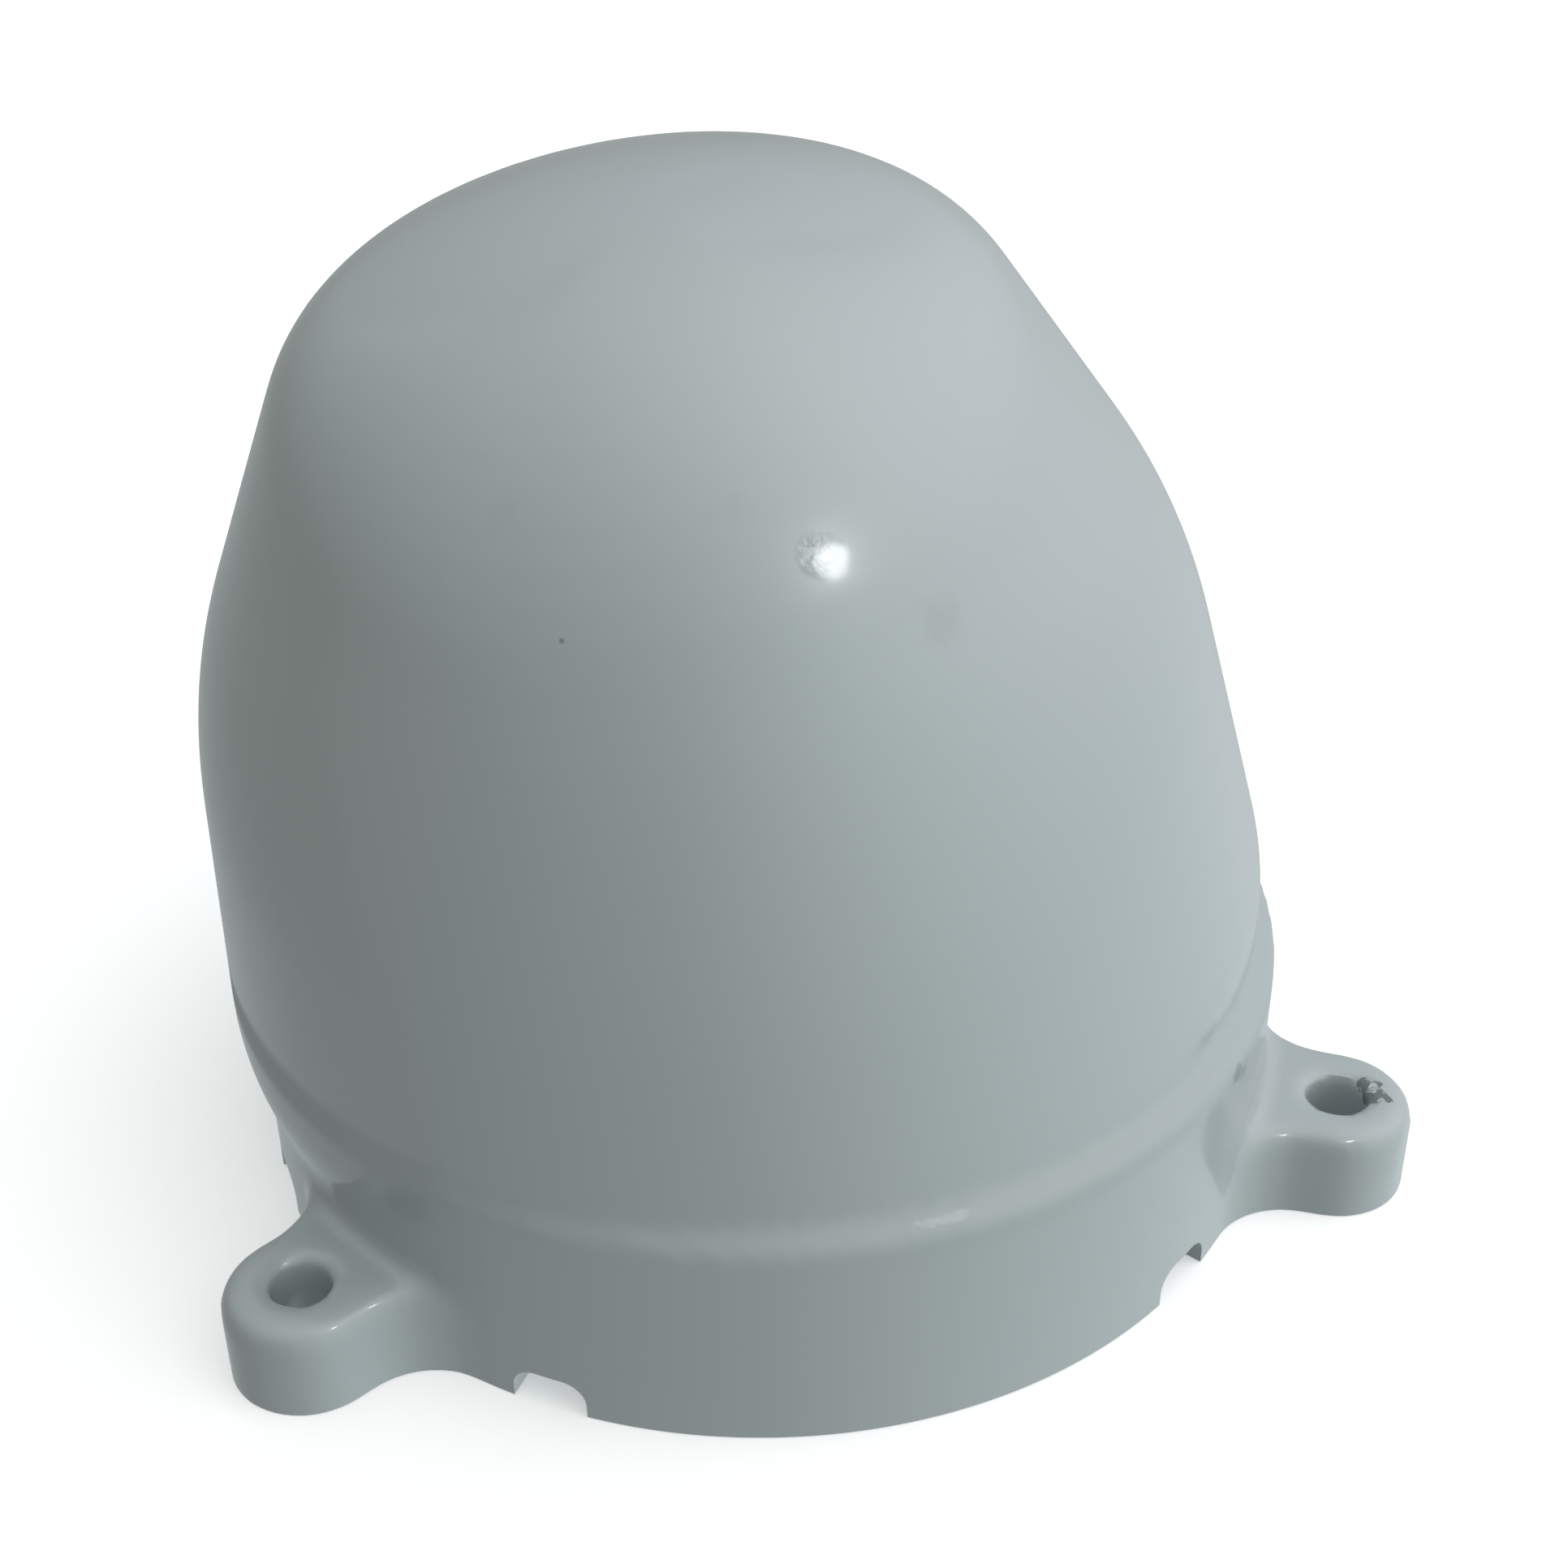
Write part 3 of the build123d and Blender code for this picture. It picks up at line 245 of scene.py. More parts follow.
@dataclass(frozen=True)
class HousingPaint:
    """Glossy pale blue-grey paint, sprayed over the whole moulding, with the marks of use."""

    ledge: float = 34.5 * MM
    roughness: float = 0.26
    coat: float = 0.7
    coat_roughness: float = 0.10
    specular: float = 0.5
    colour: Colour = (0.41, 0.455, 0.465)
    dusty: Colour = (0.38, 0.415, 0.41)
    primer: Colour = (0.13, 0.15, 0.155)
    bare: Colour = (0.52, 0.55, 0.54)
    speck: Place = (-5.35 * MM, -65.12 * MM, 117.02 * MM)
    blister: Place = (23.35 * MM, -50.96 * MM, 125.42 * MM)
    dimple: Place = (77.41 * MM, -20.1 * MM, 31.58 * MM)
    chips: tuple[Place, ...] = (
        (97.3 * MM, 0.9 * MM, 14.9 * MM),
        (96.3 * MM, 3.6 * MM, 14.95 * MM),
    )
    smudges: tuple[Place, ...] = (
        (-14.56 * MM, -59.13 * MM, 131.22 * MM),
        (13.47 * MM, -53.51 * MM, 131.98 * MM),
        (36.95 * MM, -45.32 * MM, 114.71 * MM),
    )

    def make(self) -> Finish:
        """Return the paint's material."""
        g = Graph("housing_paint")
        drift = g.noise(60 * MM, 2.0).span(0.3, 0.7)
        tone = g.mix(drift * 0.10, self.colour, self.dusty)
        fine = g.noise(2.2 * MM, 3.0)
        ragged = (fine - 0.5) * (5 * MM)
        smudge = g.near(self.smudges[0], 1.0 * MM, 4.5 * MM, ragged)
        for place in self.smudges[1:]:
            smudge = smudge.larger(g.near(place, 1.0 * MM, 4.5 * MM, ragged))
        tone = g.mix(smudge * 0.10, tone, self.primer)
        chip = g.near(self.chips[0], 0.6 * MM, 3.2 * MM, ragged)
        chip = chip.larger(g.near(self.chips[1], 0.4 * MM, 2.6 * MM, ragged)).span(0.35, 0.6)
        tone = g.mix(chip, tone, g.mix(fine.span(0.45, 0.55), self.primer, self.bare))
        fleck = g.near(self.speck, 0.25 * MM, 0.6 * MM)
        tone = g.mix(fleck * 0.8, tone, self.primer)
        dent = g.near(self.dimple, 0.4 * MM, 2.2 * MM, (fine - 0.5) * (2 * MM))
        tone = g.mix(dent * 0.35, tone, self.primer)
        height = g.axis("Z")
        dust = (height - self.ledge).larger(self.ledge - height).span(1.5 * MM, 5 * MM, 1.0, 0.0)
        rough = self.roughness + g.noise(18 * MM, 3.0) * 0.08 + chip * 0.3 + smudge * 0.1
        rough = rough + dust * 0.25
        wave = g.bump(g.noise(26 * MM, 1.0), 0.10 * MM)
        peel = g.bump(g.noise(2.4 * MM, 1.0), 0.008 * MM, wave)
        bubbles = g.near(self.blister, 1.2 * MM, 3.6 * MM) * g.noise(1.6 * MM, 2.0).span(0.35, 0.65)
        raised = g.bump(bubbles, 0.22 * MM, peel)
        edge = g.bump(1.0 - chip.larger(dent), 0.25 * MM, raised)
        return g.close(
            {
                "Base Color": tone,
                "Roughness": rough,
                "Normal": edge,
                "Coat Weight": self.coat - dust * 0.6,
                "Coat Roughness": self.coat_roughness,
                "Specular IOR Level": self.specular,
            }
        )


@dataclass(frozen=True)
class BareMetal:
    """Machined, cast or plated metal with a fine grain."""

    name: str
    colour: Colour
    roughness: float = 0.32
    grain: float = 0.6 * MM
    stretch: Place = (1.0, 1.0, 1.0)
    depth: float = 0.012 * MM

    def make(self) -> Finish:
        """Return the metal's material."""
        g = Graph(self.name)
        grain = g.noise(self.grain, 3.0, self.stretch)
        cloud = g.noise(14 * MM, 2.0).span(0.3, 0.7)
        darker = tuple(0.72 * c for c in self.colour)
        tone = g.mix(cloud * 0.35, self.colour, darker)
        rough = self.roughness + (grain - 0.5) * 0.16 + cloud * 0.06
        normal = g.bump(grain, self.depth)
        return g.close({"Base Color": tone, "Roughness": rough, "Normal": normal, "Metallic": 1.0})


@dataclass(frozen=True)
class MouldedPlastic:
    """Moulded plastic or rubber with a faint spark-eroded texture."""

    name: str
    colour: Colour
    roughness: float = 0.5
    grain: float = 0.5 * MM
    depth: float = 0.02 * MM

    def make(self) -> Finish:
        """Return the plastic's material."""
        g = Graph(self.name)
        grain = g.noise(self.grain, 2.0)
        cloud = g.noise(11 * MM, 2.0).span(0.3, 0.7)
        paler = tuple(min(1.0, 1.25 * c + 0.01) for c in self.colour)
        tone = g.mix(cloud * 0.4, self.colour, paler)
        rough = self.roughness + (grain - 0.5) * 0.18
        normal = g.bump(grain, self.depth)
        return g.close({"Base Color": tone, "Roughness": rough, "Normal": normal})


@dataclass(frozen=True)
class BoardLaminate:
    """Glass-fibre board under green lacquer, with straight copper tracks and plated holes."""

    lacquer: Colour = (0.010, 0.075, 0.038)
    track: Colour = (0.022, 0.135, 0.065)
    plating: Colour = (0.75, 0.6, 0.28)
    pitch: float = 1.4 * MM
    run: float = 11.0 * MM

    def tracks(self, g: Graph, across: str, along: str) -> Sig:
        """Return parallel tracks in patches, running one way over the board.

        Args:
            g: The material's graph.
            across: The axis that the tracks are counted along.
            along: The axis that they run along.

        Returns:
            A mask of the tracks.
        """
        wobble = g.noise(self.run, 1.0).span(0.44, 0.56)
        stripe = (g.axis(across) / self.pitch + g.axis(along) * 2.0).part()
        return (stripe - 0.5).size().span(0.10, 0.16, 1.0, 0.0) * wobble

    def make(self) -> Finish:
        """Return the board's material."""
        g = Graph("board_laminate")
        lines = self.tracks(g, "X", "Y").larger(self.tracks(g, "Z", "X"))
        pads = g.cells(3.1 * MM).span(0.10, 0.13, 1.0, 0.0)
        tone = g.mix(lines, self.lacquer, self.track)
        tone = g.mix(pads, tone, self.plating)
        weave = g.noise(0.7 * MM, 2.0)
        rough = 0.3 + weave * 0.12 - pads * 0.1
        normal = g.bump(lines * 0.5 + pads, 0.03 * MM, g.bump(weave, 0.008 * MM))
        return g.close({"Base Color": tone, "Roughness": rough, "Normal": normal, "Metallic": pads})


# modelling


class Bench:
    """The modelling operators, each used on one object with nothing else selected."""

    @staticmethod
    def only(obj: Solid) -> None:
        """Leave just this object selected and active, in object mode."""
        if bpy.context.object is not None and bpy.context.object.mode != "OBJECT":
            bpy.ops.object.mode_set(mode="OBJECT")
        bpy.ops.object.select_all(action="DESELECT")
        obj.select_set(True)
        bpy.context.view_layer.objects.active = obj

    @classmethod
    def edit(cls, obj: Solid) -> None:
        """Enter edit mode on an object with all of it selected."""
        cls.only(obj)
        bpy.ops.object.mode_set(mode="EDIT")
        bpy.ops.mesh.select_all(action="SELECT")

    @classmethod
    def turn(cls, obj: Solid, angle: float, name: str) -> Solid:
        """Turn an object about the upright through the origin, by an angle in degrees."""
        cls.only(obj)
        centre = (0.0, 0.0, 0.0)
        bpy.ops.transform.rotate(
            value=-math.radians(angle), orient_axis="Z", center_override=centre
        )
        return cls.settle(obj, name)

    @classmethod
    def settle(cls, obj: Solid, name: str) -> Solid:
        """Put an object's place into its mesh and name it."""
        cls.only(obj)
        bpy.ops.object.transform_apply(location=True, rotation=True, scale=True)
        obj.name = name
        obj.data.name = name
        return obj

    @classmethod
    def cylinder(
        cls, name: str, radius: float, low: float, high: float,
        at: Sequence[float] = (0.0, 0.0), sides: int = 96,
    ) -> Solid:
        """Stand a cylinder on end.

        Args:
            name: The object's name.
            radius: Its radius.
            low: Height of its foot.
            high: Height of its top.
            at: Where its axis stands.
            sides: Number of side faces.

        Returns:
            The cylinder.
        """
        middle = (at[0], at[1], (low + high) / 2)
        bpy.ops.mesh.primitive_cylinder_add(
            vertices=sides, radius=radius, depth=high - low, location=middle
        )
        return cls.settle(bpy.context.object, name)

    @classmethod
    def block(
        cls, name: str, size: Sequence[float], centre: Sequence[float], turn: float = 0.0
    ) -> Solid:
        """Make a block of a size round a centre, turned about the upright by an angle."""
        bpy.ops.mesh.primitive_cube_add(size=1.0, location=tuple(centre), rotation=(0.0, 0.0, turn))
        bpy.context.object.scale = tuple(size)
        return cls.settle(bpy.context.object, name)

    @classmethod
    def bevel(
        cls, obj: Solid, test: Test, width: float, segments: int = 4
    ) -> None:
        """Round the edges whose middle and direction pass a test."""
        cls.only(obj)
        mesh = obj.data
        for group in (mesh.vertices, mesh.edges, mesh.polygons):
            group.foreach_set("select", [False] * len(group))
        for edge in mesh.edges:
            a, b = (mesh.vertices[v].co for v in edge.vertices)
            edge.select = test((a + b) / 2, (b - a).normalized())
        bpy.ops.object.mode_set(mode="EDIT")
        bpy.ops.mesh.select_mode(type="EDGE")
        bpy.ops.mesh.bevel(offset=width, segments=segments, profile=0.5, affect="EDGES")
        bpy.ops.object.mode_set(mode="OBJECT")

    @classmethod
    def modify(cls, obj: Solid, kind: str, **settings: object) -> Solid:
        """Add one modifier with its settings and apply it."""
        cls.only(obj)
        bpy.ops.object.modifier_add(type=kind)
        modifier = obj.modifiers[-1]
        for key, value in settings.items():
            setattr(modifier, key, value)
        bpy.ops.object.modifier_apply(modifier=modifier.name)
        return obj

    @classmethod
    def combine(
        cls, obj: Solid, others: Iterable[Solid], how: Join
    ) -> Solid:
        """Combine an object with others, one after another, and remove them."""
        for other in others:
            cls.modify(obj, "BOOLEAN", operation=how.value, object=other, solver="EXACT")
            bpy.data.objects.remove(other)
        return obj

    @classmethod
    def join(cls, pieces: Sequence[Solid], name: str) -> Solid:
        """Join pieces into one object and name it."""
        cls.only(pieces[0])
        for piece in pieces:
            piece.select_set(True)
        bpy.ops.object.join()
        return cls.settle(bpy.context.object, name)

    @classmethod
    def spun(
        cls,
        name: str,
        profile: Sequence[tuple[float, float]],
        foot: Vector = Vector((0.0, 0.0, 0.0)),
        axis: Vector = UP,
        steps: int = 96,
    ) -> Solid:
        """Spin a profile about an axis.

        Args:
            name: The object's name.
            profile: Radius and height pairs, starting and ending on the axis for a closed solid.
            foot: The point that heights are counted from.
            axis: Direction of the axis.
            steps: Number of steps in a full turn.

        Returns:
            The turned solid.
        """
        across = axis.cross(Vector((0.3, 1.0, 0.1))).normalized()
        points = [foot + across * r + axis * h for r, h in profile]
        bpy.ops.mesh.primitive_plane_add(size=MM, location=(0.0, 0.0, 0.0))
        obj = bpy.context.object
        bpy.ops.object.mode_set(mode="EDIT")
        bpy.ops.mesh.select_mode(type="VERT")
        bpy.ops.mesh.select_all(action="SELECT")
        bpy.ops.mesh.merge(type="CENTER")
        bpy.ops.transform.translate(value=points[0])
        for start, end in zip(points, points[1:]):
            bpy.ops.mesh.extrude_region_move(TRANSFORM_OT_translate={"value": end - start})
        bpy.ops.mesh.select_all(action="SELECT")
        bpy.ops.mesh.spin(steps=steps, angle=math.tau, center=foot, axis=axis)
        bpy.ops.mesh.select_all(action="SELECT")
        bpy.ops.mesh.remove_doubles(threshold=0.002 * MM)
        bpy.ops.mesh.select_all(action="SELECT")
        bpy.ops.mesh.normals_make_consistent(inside=False)
        return cls.settle(obj, name)

    @classmethod
    def level(cls, obj: Solid, height: float) -> Solid:
        """Cut a solid off level at a height and close it with a flat face."""
        cls.edit(obj)
        bpy.ops.mesh.quads_convert_to_tris()
        bpy.ops.mesh.bisect(
            plane_co=(0.0, 0.0, height), plane_no=(0.0, 0.0, 1.0), use_fill=True, clear_inner=True
        )
        bpy.ops.object.mode_set(mode="OBJECT")
        return obj


def polar(radius: float, angle: float) -> tuple[float, float]:
    """Return the point at a radius and an angle in degrees."""
    return radius * math.cos(math.radians(angle)), radius * math.sin(math.radians(angle))


def dress(piece: Solid, material: Finish) -> None:
    """Give every slot of a piece one material."""
    if not piece.material_slots:
        piece.data.materials.append(material)
    for slot in piece.material_slots:
        slot.material = material


# the housing


@dataclass
class DomeProfile:
    """The dome's outline as radius and height along its own axis."""

    foot: tuple[float, float] = (74.0 * MM, -32.0 * MM)
    waist: tuple[float, float] = (82.0 * MM, 0.0)
    waist_round: float = 30.0 * MM
    shoulder: tuple[float, float] = (72.7 * MM, 58.0 * MM)
    shoulder_round: float = 88.0 * MM
    brow: tuple[float, float] = (47.5 * MM, 106.0 * MM)
    brow_round: float = 24.0 * MM
    crown: float = 117.5 * MM
    soft_shoulder_round: float = 150.0 * MM
    soft_brow_round: float = 60.0 * MM

    def softened(self) -> "DomeProfile":
        """Return the outline with the wider rounds of the dome's front."""
        return replace(
            self, shoulder_round=self.soft_shoulder_round, brow_round=self.soft_brow_round
        )

    @staticmethod
    def corner(
        before: Vector, at: Vector, after: Vector, radius: float, steps: int = 10
    ) -> list[Vector]:
        """Round one corner of the outline.

        Args:
            before: The outline's point before the corner.
            at: The corner.
            after: The point after it.
            radius: Radius of the arc.
            steps: Number of steps along it.

        Returns:
            Points along the arc, from the side of before.
        """
        inward, onward = (before - at).normalized(), (after - at).normalized()
        half = inward.angle(onward) / 2
        centre = at + (inward + onward).normalized() * (radius / math.sin(half))
        first = at + inward * (radius / math.tan(half)) - centre
        last = at + onward * (radius / math.tan(half)) - centre
        sweep = first.angle_signed(last)
        return [centre + Matrix.Rotation(-sweep * i / steps, 2) @ first for i in range(steps + 1)]

    def points(self, inset: float = 0.0) -> list[tuple[float, float]]:
        """Return the outline from the foot to the crown, drawn in by inset."""
        foot = Vector(self.foot) - Vector((inset, 0.0))
        waist = Vector(self.waist) - Vector((inset, 0.0))
        shoulder = Vector(self.shoulder) - Vector((inset, 0.3 * inset))
        brow = Vector(self.brow) - Vector((0.8 * inset, 0.8 * inset))
        crown = self.crown - inset
        cap = (brow.x**2 + (crown - brow.y) ** 2) / (2 * (crown - brow.y))
        cap_centre = Vector((0.0, crown - cap))
        along = (brow - shoulder).normalized()
        inward = Vector((-along.y, along.x))
        small = self.brow_round - inset
        base = shoulder + inward * small - cap_centre
        reach = base.dot(along)
        run = -reach + math.sqrt(reach**2 - base.length_squared + (cap - small) ** 2)
        centre = shoulder + along * run + inward * small
        start = -inward * small
        end = (centre - cap_centre).normalized() * small
        sweep = start.angle_signed(end)
        line = [foot]
        line += self.corner(foot, waist, shoulder, self.waist_round)
        line += self.corner(waist, shoulder, brow, self.shoulder_round - inset)
        line += [centre + Matrix.Rotation(-sweep * i / 12, 2) @ start for i in range(13)]
        meet = math.atan2(centre.x, centre.y - cap_centre.y)
        for step in range(1, 14):
            angle = meet * (1 - step / 14)
            line.append(cap_centre + Vector((math.sin(angle), math.cos(angle))) * cap)
        return [(p.x, p.y) for p in line] + [(0.0, crown)]


@dataclass
class DomeHousing:
    """The one-piece moulding: level ring, three ears, leaning dome, notches and screw seats."""

    ring_radius: float = 80.0 * MM
    ring_height: float = 35.5 * MM
    ring_wall: float = 4.5 * MM
    ring_edge: float = 2.5 * MM
    ear_circle: float = 91.7 * MM
    ear_tip: float = 11.5 * MM
    ear_height: float = 15.0 * MM
    ear_root: float = 12.0 * MM
    ear_edge: float = 3.0 * MM
    ear_hole: float = 4.5 * MM
    ear_angles: tuple[float, ...] = (0.0, 120.0, 240.0)
    notch_angle: float = 23.5
    notch_length: float = 40.0 * MM
    notch_width: float = 11.5 * MM
    notch_height: float = 5.7 * MM
    notch_round: float = 3.6 * MM
    dome_wall: float = 3.5 * MM
    dome_lean: float = 9.4
    dome_lean_towards: float = 240.0
    dome_set_off: float = 5.2 * MM
    dome_set_off_towards: float = 150.0
    seat_low: float = 12.0 * MM
    seat_high: float = 16.0 * MM
    seat_radius: float = 65.0 * MM
    boss_radius: float = 5.5 * MM
    boss_top: float = 30.0 * MM
    boss_circle: float = 70.5 * MM
    space_floor: float = 28.0 * MM
    screw_radius: float = 2.02 * MM
    skin: float = 1.2 * MM
    soft_towards: float = -75.0
    soft_full: float = 20.0
    soft_end: float = 80.0
    foot_spare: float = 5.0 * MM
    profile: DomeProfile = field(default_factory=DomeProfile)
    paint: HousingPaint = field(default_factory=HousingPaint)

    def dome_axis(self) -> tuple[Vector, Vector]:
        """Return the dome's foot point on the ring's top face, and the direction of its axis."""
        lean = math.radians(self.dome_lean)
        axis = Vector((*polar(math.sin(lean), self.dome_lean_towards), math.cos(lean)))
        foot = polar(self.dome_set_off, self.dome_set_off_towards)
        return Vector((*foot, self.ring_height)), axis

    def front_share(self, across: Vector) -> float:
        """Return 1 on the dome's soft front and 0 on its firm back, by the way across its axis."""
        turn = math.degrees(math.atan2(across.y, across.x)) - self.soft_towards
        away = abs((turn + 180.0) % 360.0 - 180.0)
        share = min(1.0, max(0.0, (self.soft_end - away) / (self.soft_end - self.soft_full)))
        return share * share * (3.0 - 2.0 * share)

    def dome(self, name: str, inset: float, floor: float) -> Solid:
        """Spin the dome as a full solid, soften its front, and cut it level.

        Args:
            name: The object's name.
            inset: How far it is drawn in.
            floor: Height that it is cut off at.

        Returns:
            The solid.
        """
        foot, axis = self.dome_axis()
        firm, soft = self.profile.points(inset), self.profile.softened().points(inset)
        firm, soft = [(0.0, firm[0][1]), *firm], [(0.0, soft[0][1]), *soft]
        solid = Bench.spun(name, firm, foot, axis, 200)
        for vertex in solid.data.vertices:
            across = vertex.co - foot
            height = across.dot(axis)
            outward = across - axis * height
            gaps = [abs(r - outward.length) + abs(h - height) for r, h in firm]
            number = gaps.index(min(gaps))
            place = Vector(firm[number]).lerp(Vector(soft[number]), self.front_share(across))
            vertex.co = foot + outward.normalized() * place.x + axis * place.y
        return Bench.level(solid, floor)

    def ear(self, angle: float) -> Solid:
        """Model one mounting ear with its flared roots, rounded top and screw hole.

        Args:
            angle: Where it stands round the ring, in degrees.

        Returns:
            The ear, lying across the ring's wall.
        """
        root_reach = self.ring_radius + self.ear_root
        root_y = self.ear_tip + self.ear_root
        root_x = math.sqrt(root_reach**2 - root_y**2)
        inner = self.ring_radius - 2 * self.ring_wall
        half_width = root_y * self.ring_radius / root_reach + 0.6 * MM
        low, tall = -self.foot_spare, self.ear_height + self.foot_spare
        middle = (self.ear_height - self.foot_spare) / 2
        ear = Bench.block(
            "ear", (root_x - inner, 2 * half_width, tall), ((root_x + inner) / 2, 0.0, middle)
        )
        for side in (-1, 1):
            flare = Bench.cylinder(
                "flare", self.ear_root, low - MM, self.ear_height + MM, (root_x, side * root_y), 96
            )
            Bench.combine(ear, [flare], Join.CUT)
        tongue = Bench.block(
            "tongue",
            (self.ear_circle - inner, 2 * self.ear_tip, tall),
            ((self.ear_circle + inner) / 2, 0.0, middle),
        )
        tip = Bench.cylinder("tip", self.ear_tip, low, self.ear_height, (self.ear_circle, 0.0), 96)
        Bench.combine(ear, [tongue, tip], Join.ADD)
        top = self.ear_height
        Bench.edit(ear)
        bpy.ops.mesh.remove_doubles(threshold=0.02 * MM)
        bpy.ops.mesh.select_all(action="SELECT")
        bpy.ops.mesh.dissolve_limited(angle_limit=math.radians(0.5))
        Bench.bevel(ear, lambda c, d: abs(c.z - top) < TOUCH and abs(d.z) < 0.1, self.ear_edge, 6)
        hole = Bench.cylinder("hole", self.ear_hole, low - MM, top + MM, (self.ear_circle, 0.0), 64)
        Bench.combine(ear, [hole], Join.CUT)
        return Bench.turn(ear, angle, "ear")

    def notch(self, angle: float) -> Solid:
        """Make the cutter for one cable notch in the ring's foot, at an angle in degrees."""
        size = (self.notch_length, self.notch_width, 2 * self.notch_height)
        cutter = Bench.block("notch", size, (self.ring_radius, 0.0, 0.0))
        Bench.bevel(cutter, lambda c, d: abs(d.x) > 0.9 and c.z > 0, self.notch_round, 6)
        return Bench.turn(cutter, angle, "notch")

    def hollow(self) -> Solid:
        """Make the space inside the moulding, with its screw seat and six bosses left standing."""
        bore = self.ring_radius - self.ring_wall
        space = self.dome("space", self.dome_wall, self.space_floor)
        low, high, top = self.seat_low, self.seat_high, self.boss_top
        line = [(0.0, -self.foot_spare), (bore, -self.foot_spare), (bore, low)]
        line += [(self.seat_radius, low), (self.seat_radius, high), (bore, high)]
        line += [(bore, top), (0.0, top)]
        lower = Bench.spun("lower_space", line, steps=160)
        places = [polar(self.boss_circle, a) for a in SCREW_ANGLES]
        low, high = self.seat_low, self.boss_top - 0.5 * MM
        bosses = [Bench.cylinder("boss", self.boss_radius, low, high, at, 32) for at in places]
        Bench.combine(lower, bosses, Join.CUT)
        low, high = self.seat_low - 0.5 * MM, self.space_floor
        screws = [Bench.cylinder("hole", self.screw_radius, low, high, at, 24) for at in places]
        Bench.combine(lower, screws, Join.ADD)
        return Bench.combine(space, [lower], Join.ADD)

    def build(self) -> None:
        """Model the moulding, paint it, and let it stand for its CAD solid."""
        low, top = -self.foot_spare, self.ring_height
        shell = Bench.cylinder("dome_housing", self.ring_radius, low, top, sides=240)
        Bench.bevel(shell, lambda c, d: abs(c.z - top) < TOUCH, self.ring_edge, 6)
        Bench.combine(shell, [self.ear(a) for a in self.ear_angles], Join.ADD)
        Bench.combine(shell, [self.dome("dome", 0.0, low)], Join.ADD)
        Bench.modify(shell, "REMESH", mode="VOXEL", voxel_size=self.skin)
        Bench.modify(shell, "SMOOTH", factor=0.5, iterations=6)
        Bench.level(shell, 0.0)
        turns = [a + side * self.notch_angle for a in self.ear_angles for side in (-1, 1)]
        Bench.combine(shell, [self.notch(turn) for turn in turns], Join.CUT)
        Bench.combine(shell, [self.hollow()], Join.CUT)
        hand_over(shell, ("dome_shell",), self.paint.make(), 40.0)


# underside


def middle_of(name: str) -> Vector:
    """Return the middle of a CAD node's box."""
    low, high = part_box(name)
    return (Vector(low) + Vector(high)) / 2


def hand_over(
    piece: Solid,
    nodes: Sequence[str],
    material: Finish,
    crease: float = 35.0,
) -> None:
    """Shade a finished piece, dress it, let it ride on the housing and stand for CAD nodes.

    Args:
        piece: The finished piece.
        nodes: The CAD nodes it stands for.
        material: Its finish.
        crease: Edges sharper than this angle, in degrees, stay sharp.
    """
    Bench.only(piece)
    bpy.ops.object.shade_smooth_by_angle(angle=math.radians(crease))
    dress(piece, material)
    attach(piece, "housing")
    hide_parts(*nodes)
    LOG.info("%s: %d faces", piece.name, len(piece.data.polygons))


@dataclass
class ScrewSet:
    """Alike socket-head screws with rounded heads, hexagon sockets and rolled threads."""

    name: str
    diameter: float
    length: float
    places: Sequence[Vector]
    aim: Vector
    finish: "BareMetal"

    def one(self) -> Solid:
        """Model one screw at the origin, its head standing up from the seat at height zero."""
        r, head = self.diameter / 2, 0.7 * self.diameter
        pitch = 0.2 * self.diameter
        turns = int((self.length - 0.6 * self.diameter) / pitch)
        line = [(0.0, -self.length), (0.7 * r, -self.length), (r, -self.length + 0.3 * r)]
        for turn in range(turns):
            foot = -self.length + 0.5 * r + turn * pitch
            line += [(r, foot), (0.86 * r, foot + 0.5 * pitch)]
        line += [(r, -0.2 * self.diameter), (r, 0.0), (1.9 * r, 0.0), (2 * r, 0.08 * r)]
        line += [(2 * r, 0.82 * head), (1.94 * r, 0.93 * head), (1.8 * r, head), (1.02 * r, head)]
        line += [(0.92 * r, 0.95 * head), (0.0, 0.95 * head)]
        screw = Bench.spun("screw", line, steps=32)
        bpy.ops.mesh.primitive_cylinder_add(
            vertices=6, radius=0.9 * r, depth=head, location=(0.0, 0.0, head)
        )
        socket = Bench.settle(bpy.context.object, "socket")
        Bench.bevel(socket, lambda c, d: c.z < 0.6 * head and abs(d.z) < 0.1, 0.12 * r, 2)
        return Bench.combine(screw, [socket], Join.CUT)

    def build(self) -> None:
        """Copy the screw to every place and hand the set over."""
        first = self.one()
        turn = UP.rotation_difference(self.aim).to_matrix().to_4x4()
        copies = []
        for number, place in enumerate(self.places):
            copy = first.copy()
            copy.data = first.data.copy()
            bpy.context.collection.objects.link(copy)
            spin = Matrix.Rotation(math.radians(37.0 * number), 4, self.aim)
            copy.matrix_world = Matrix.Translation(place) @ spin @ turn
            copies.append(copy)
        bpy.data.objects.remove(first)
        piece = Bench.join(copies, self.name + "_set")
        hand_over(piece, (self.name,), self.finish.make())


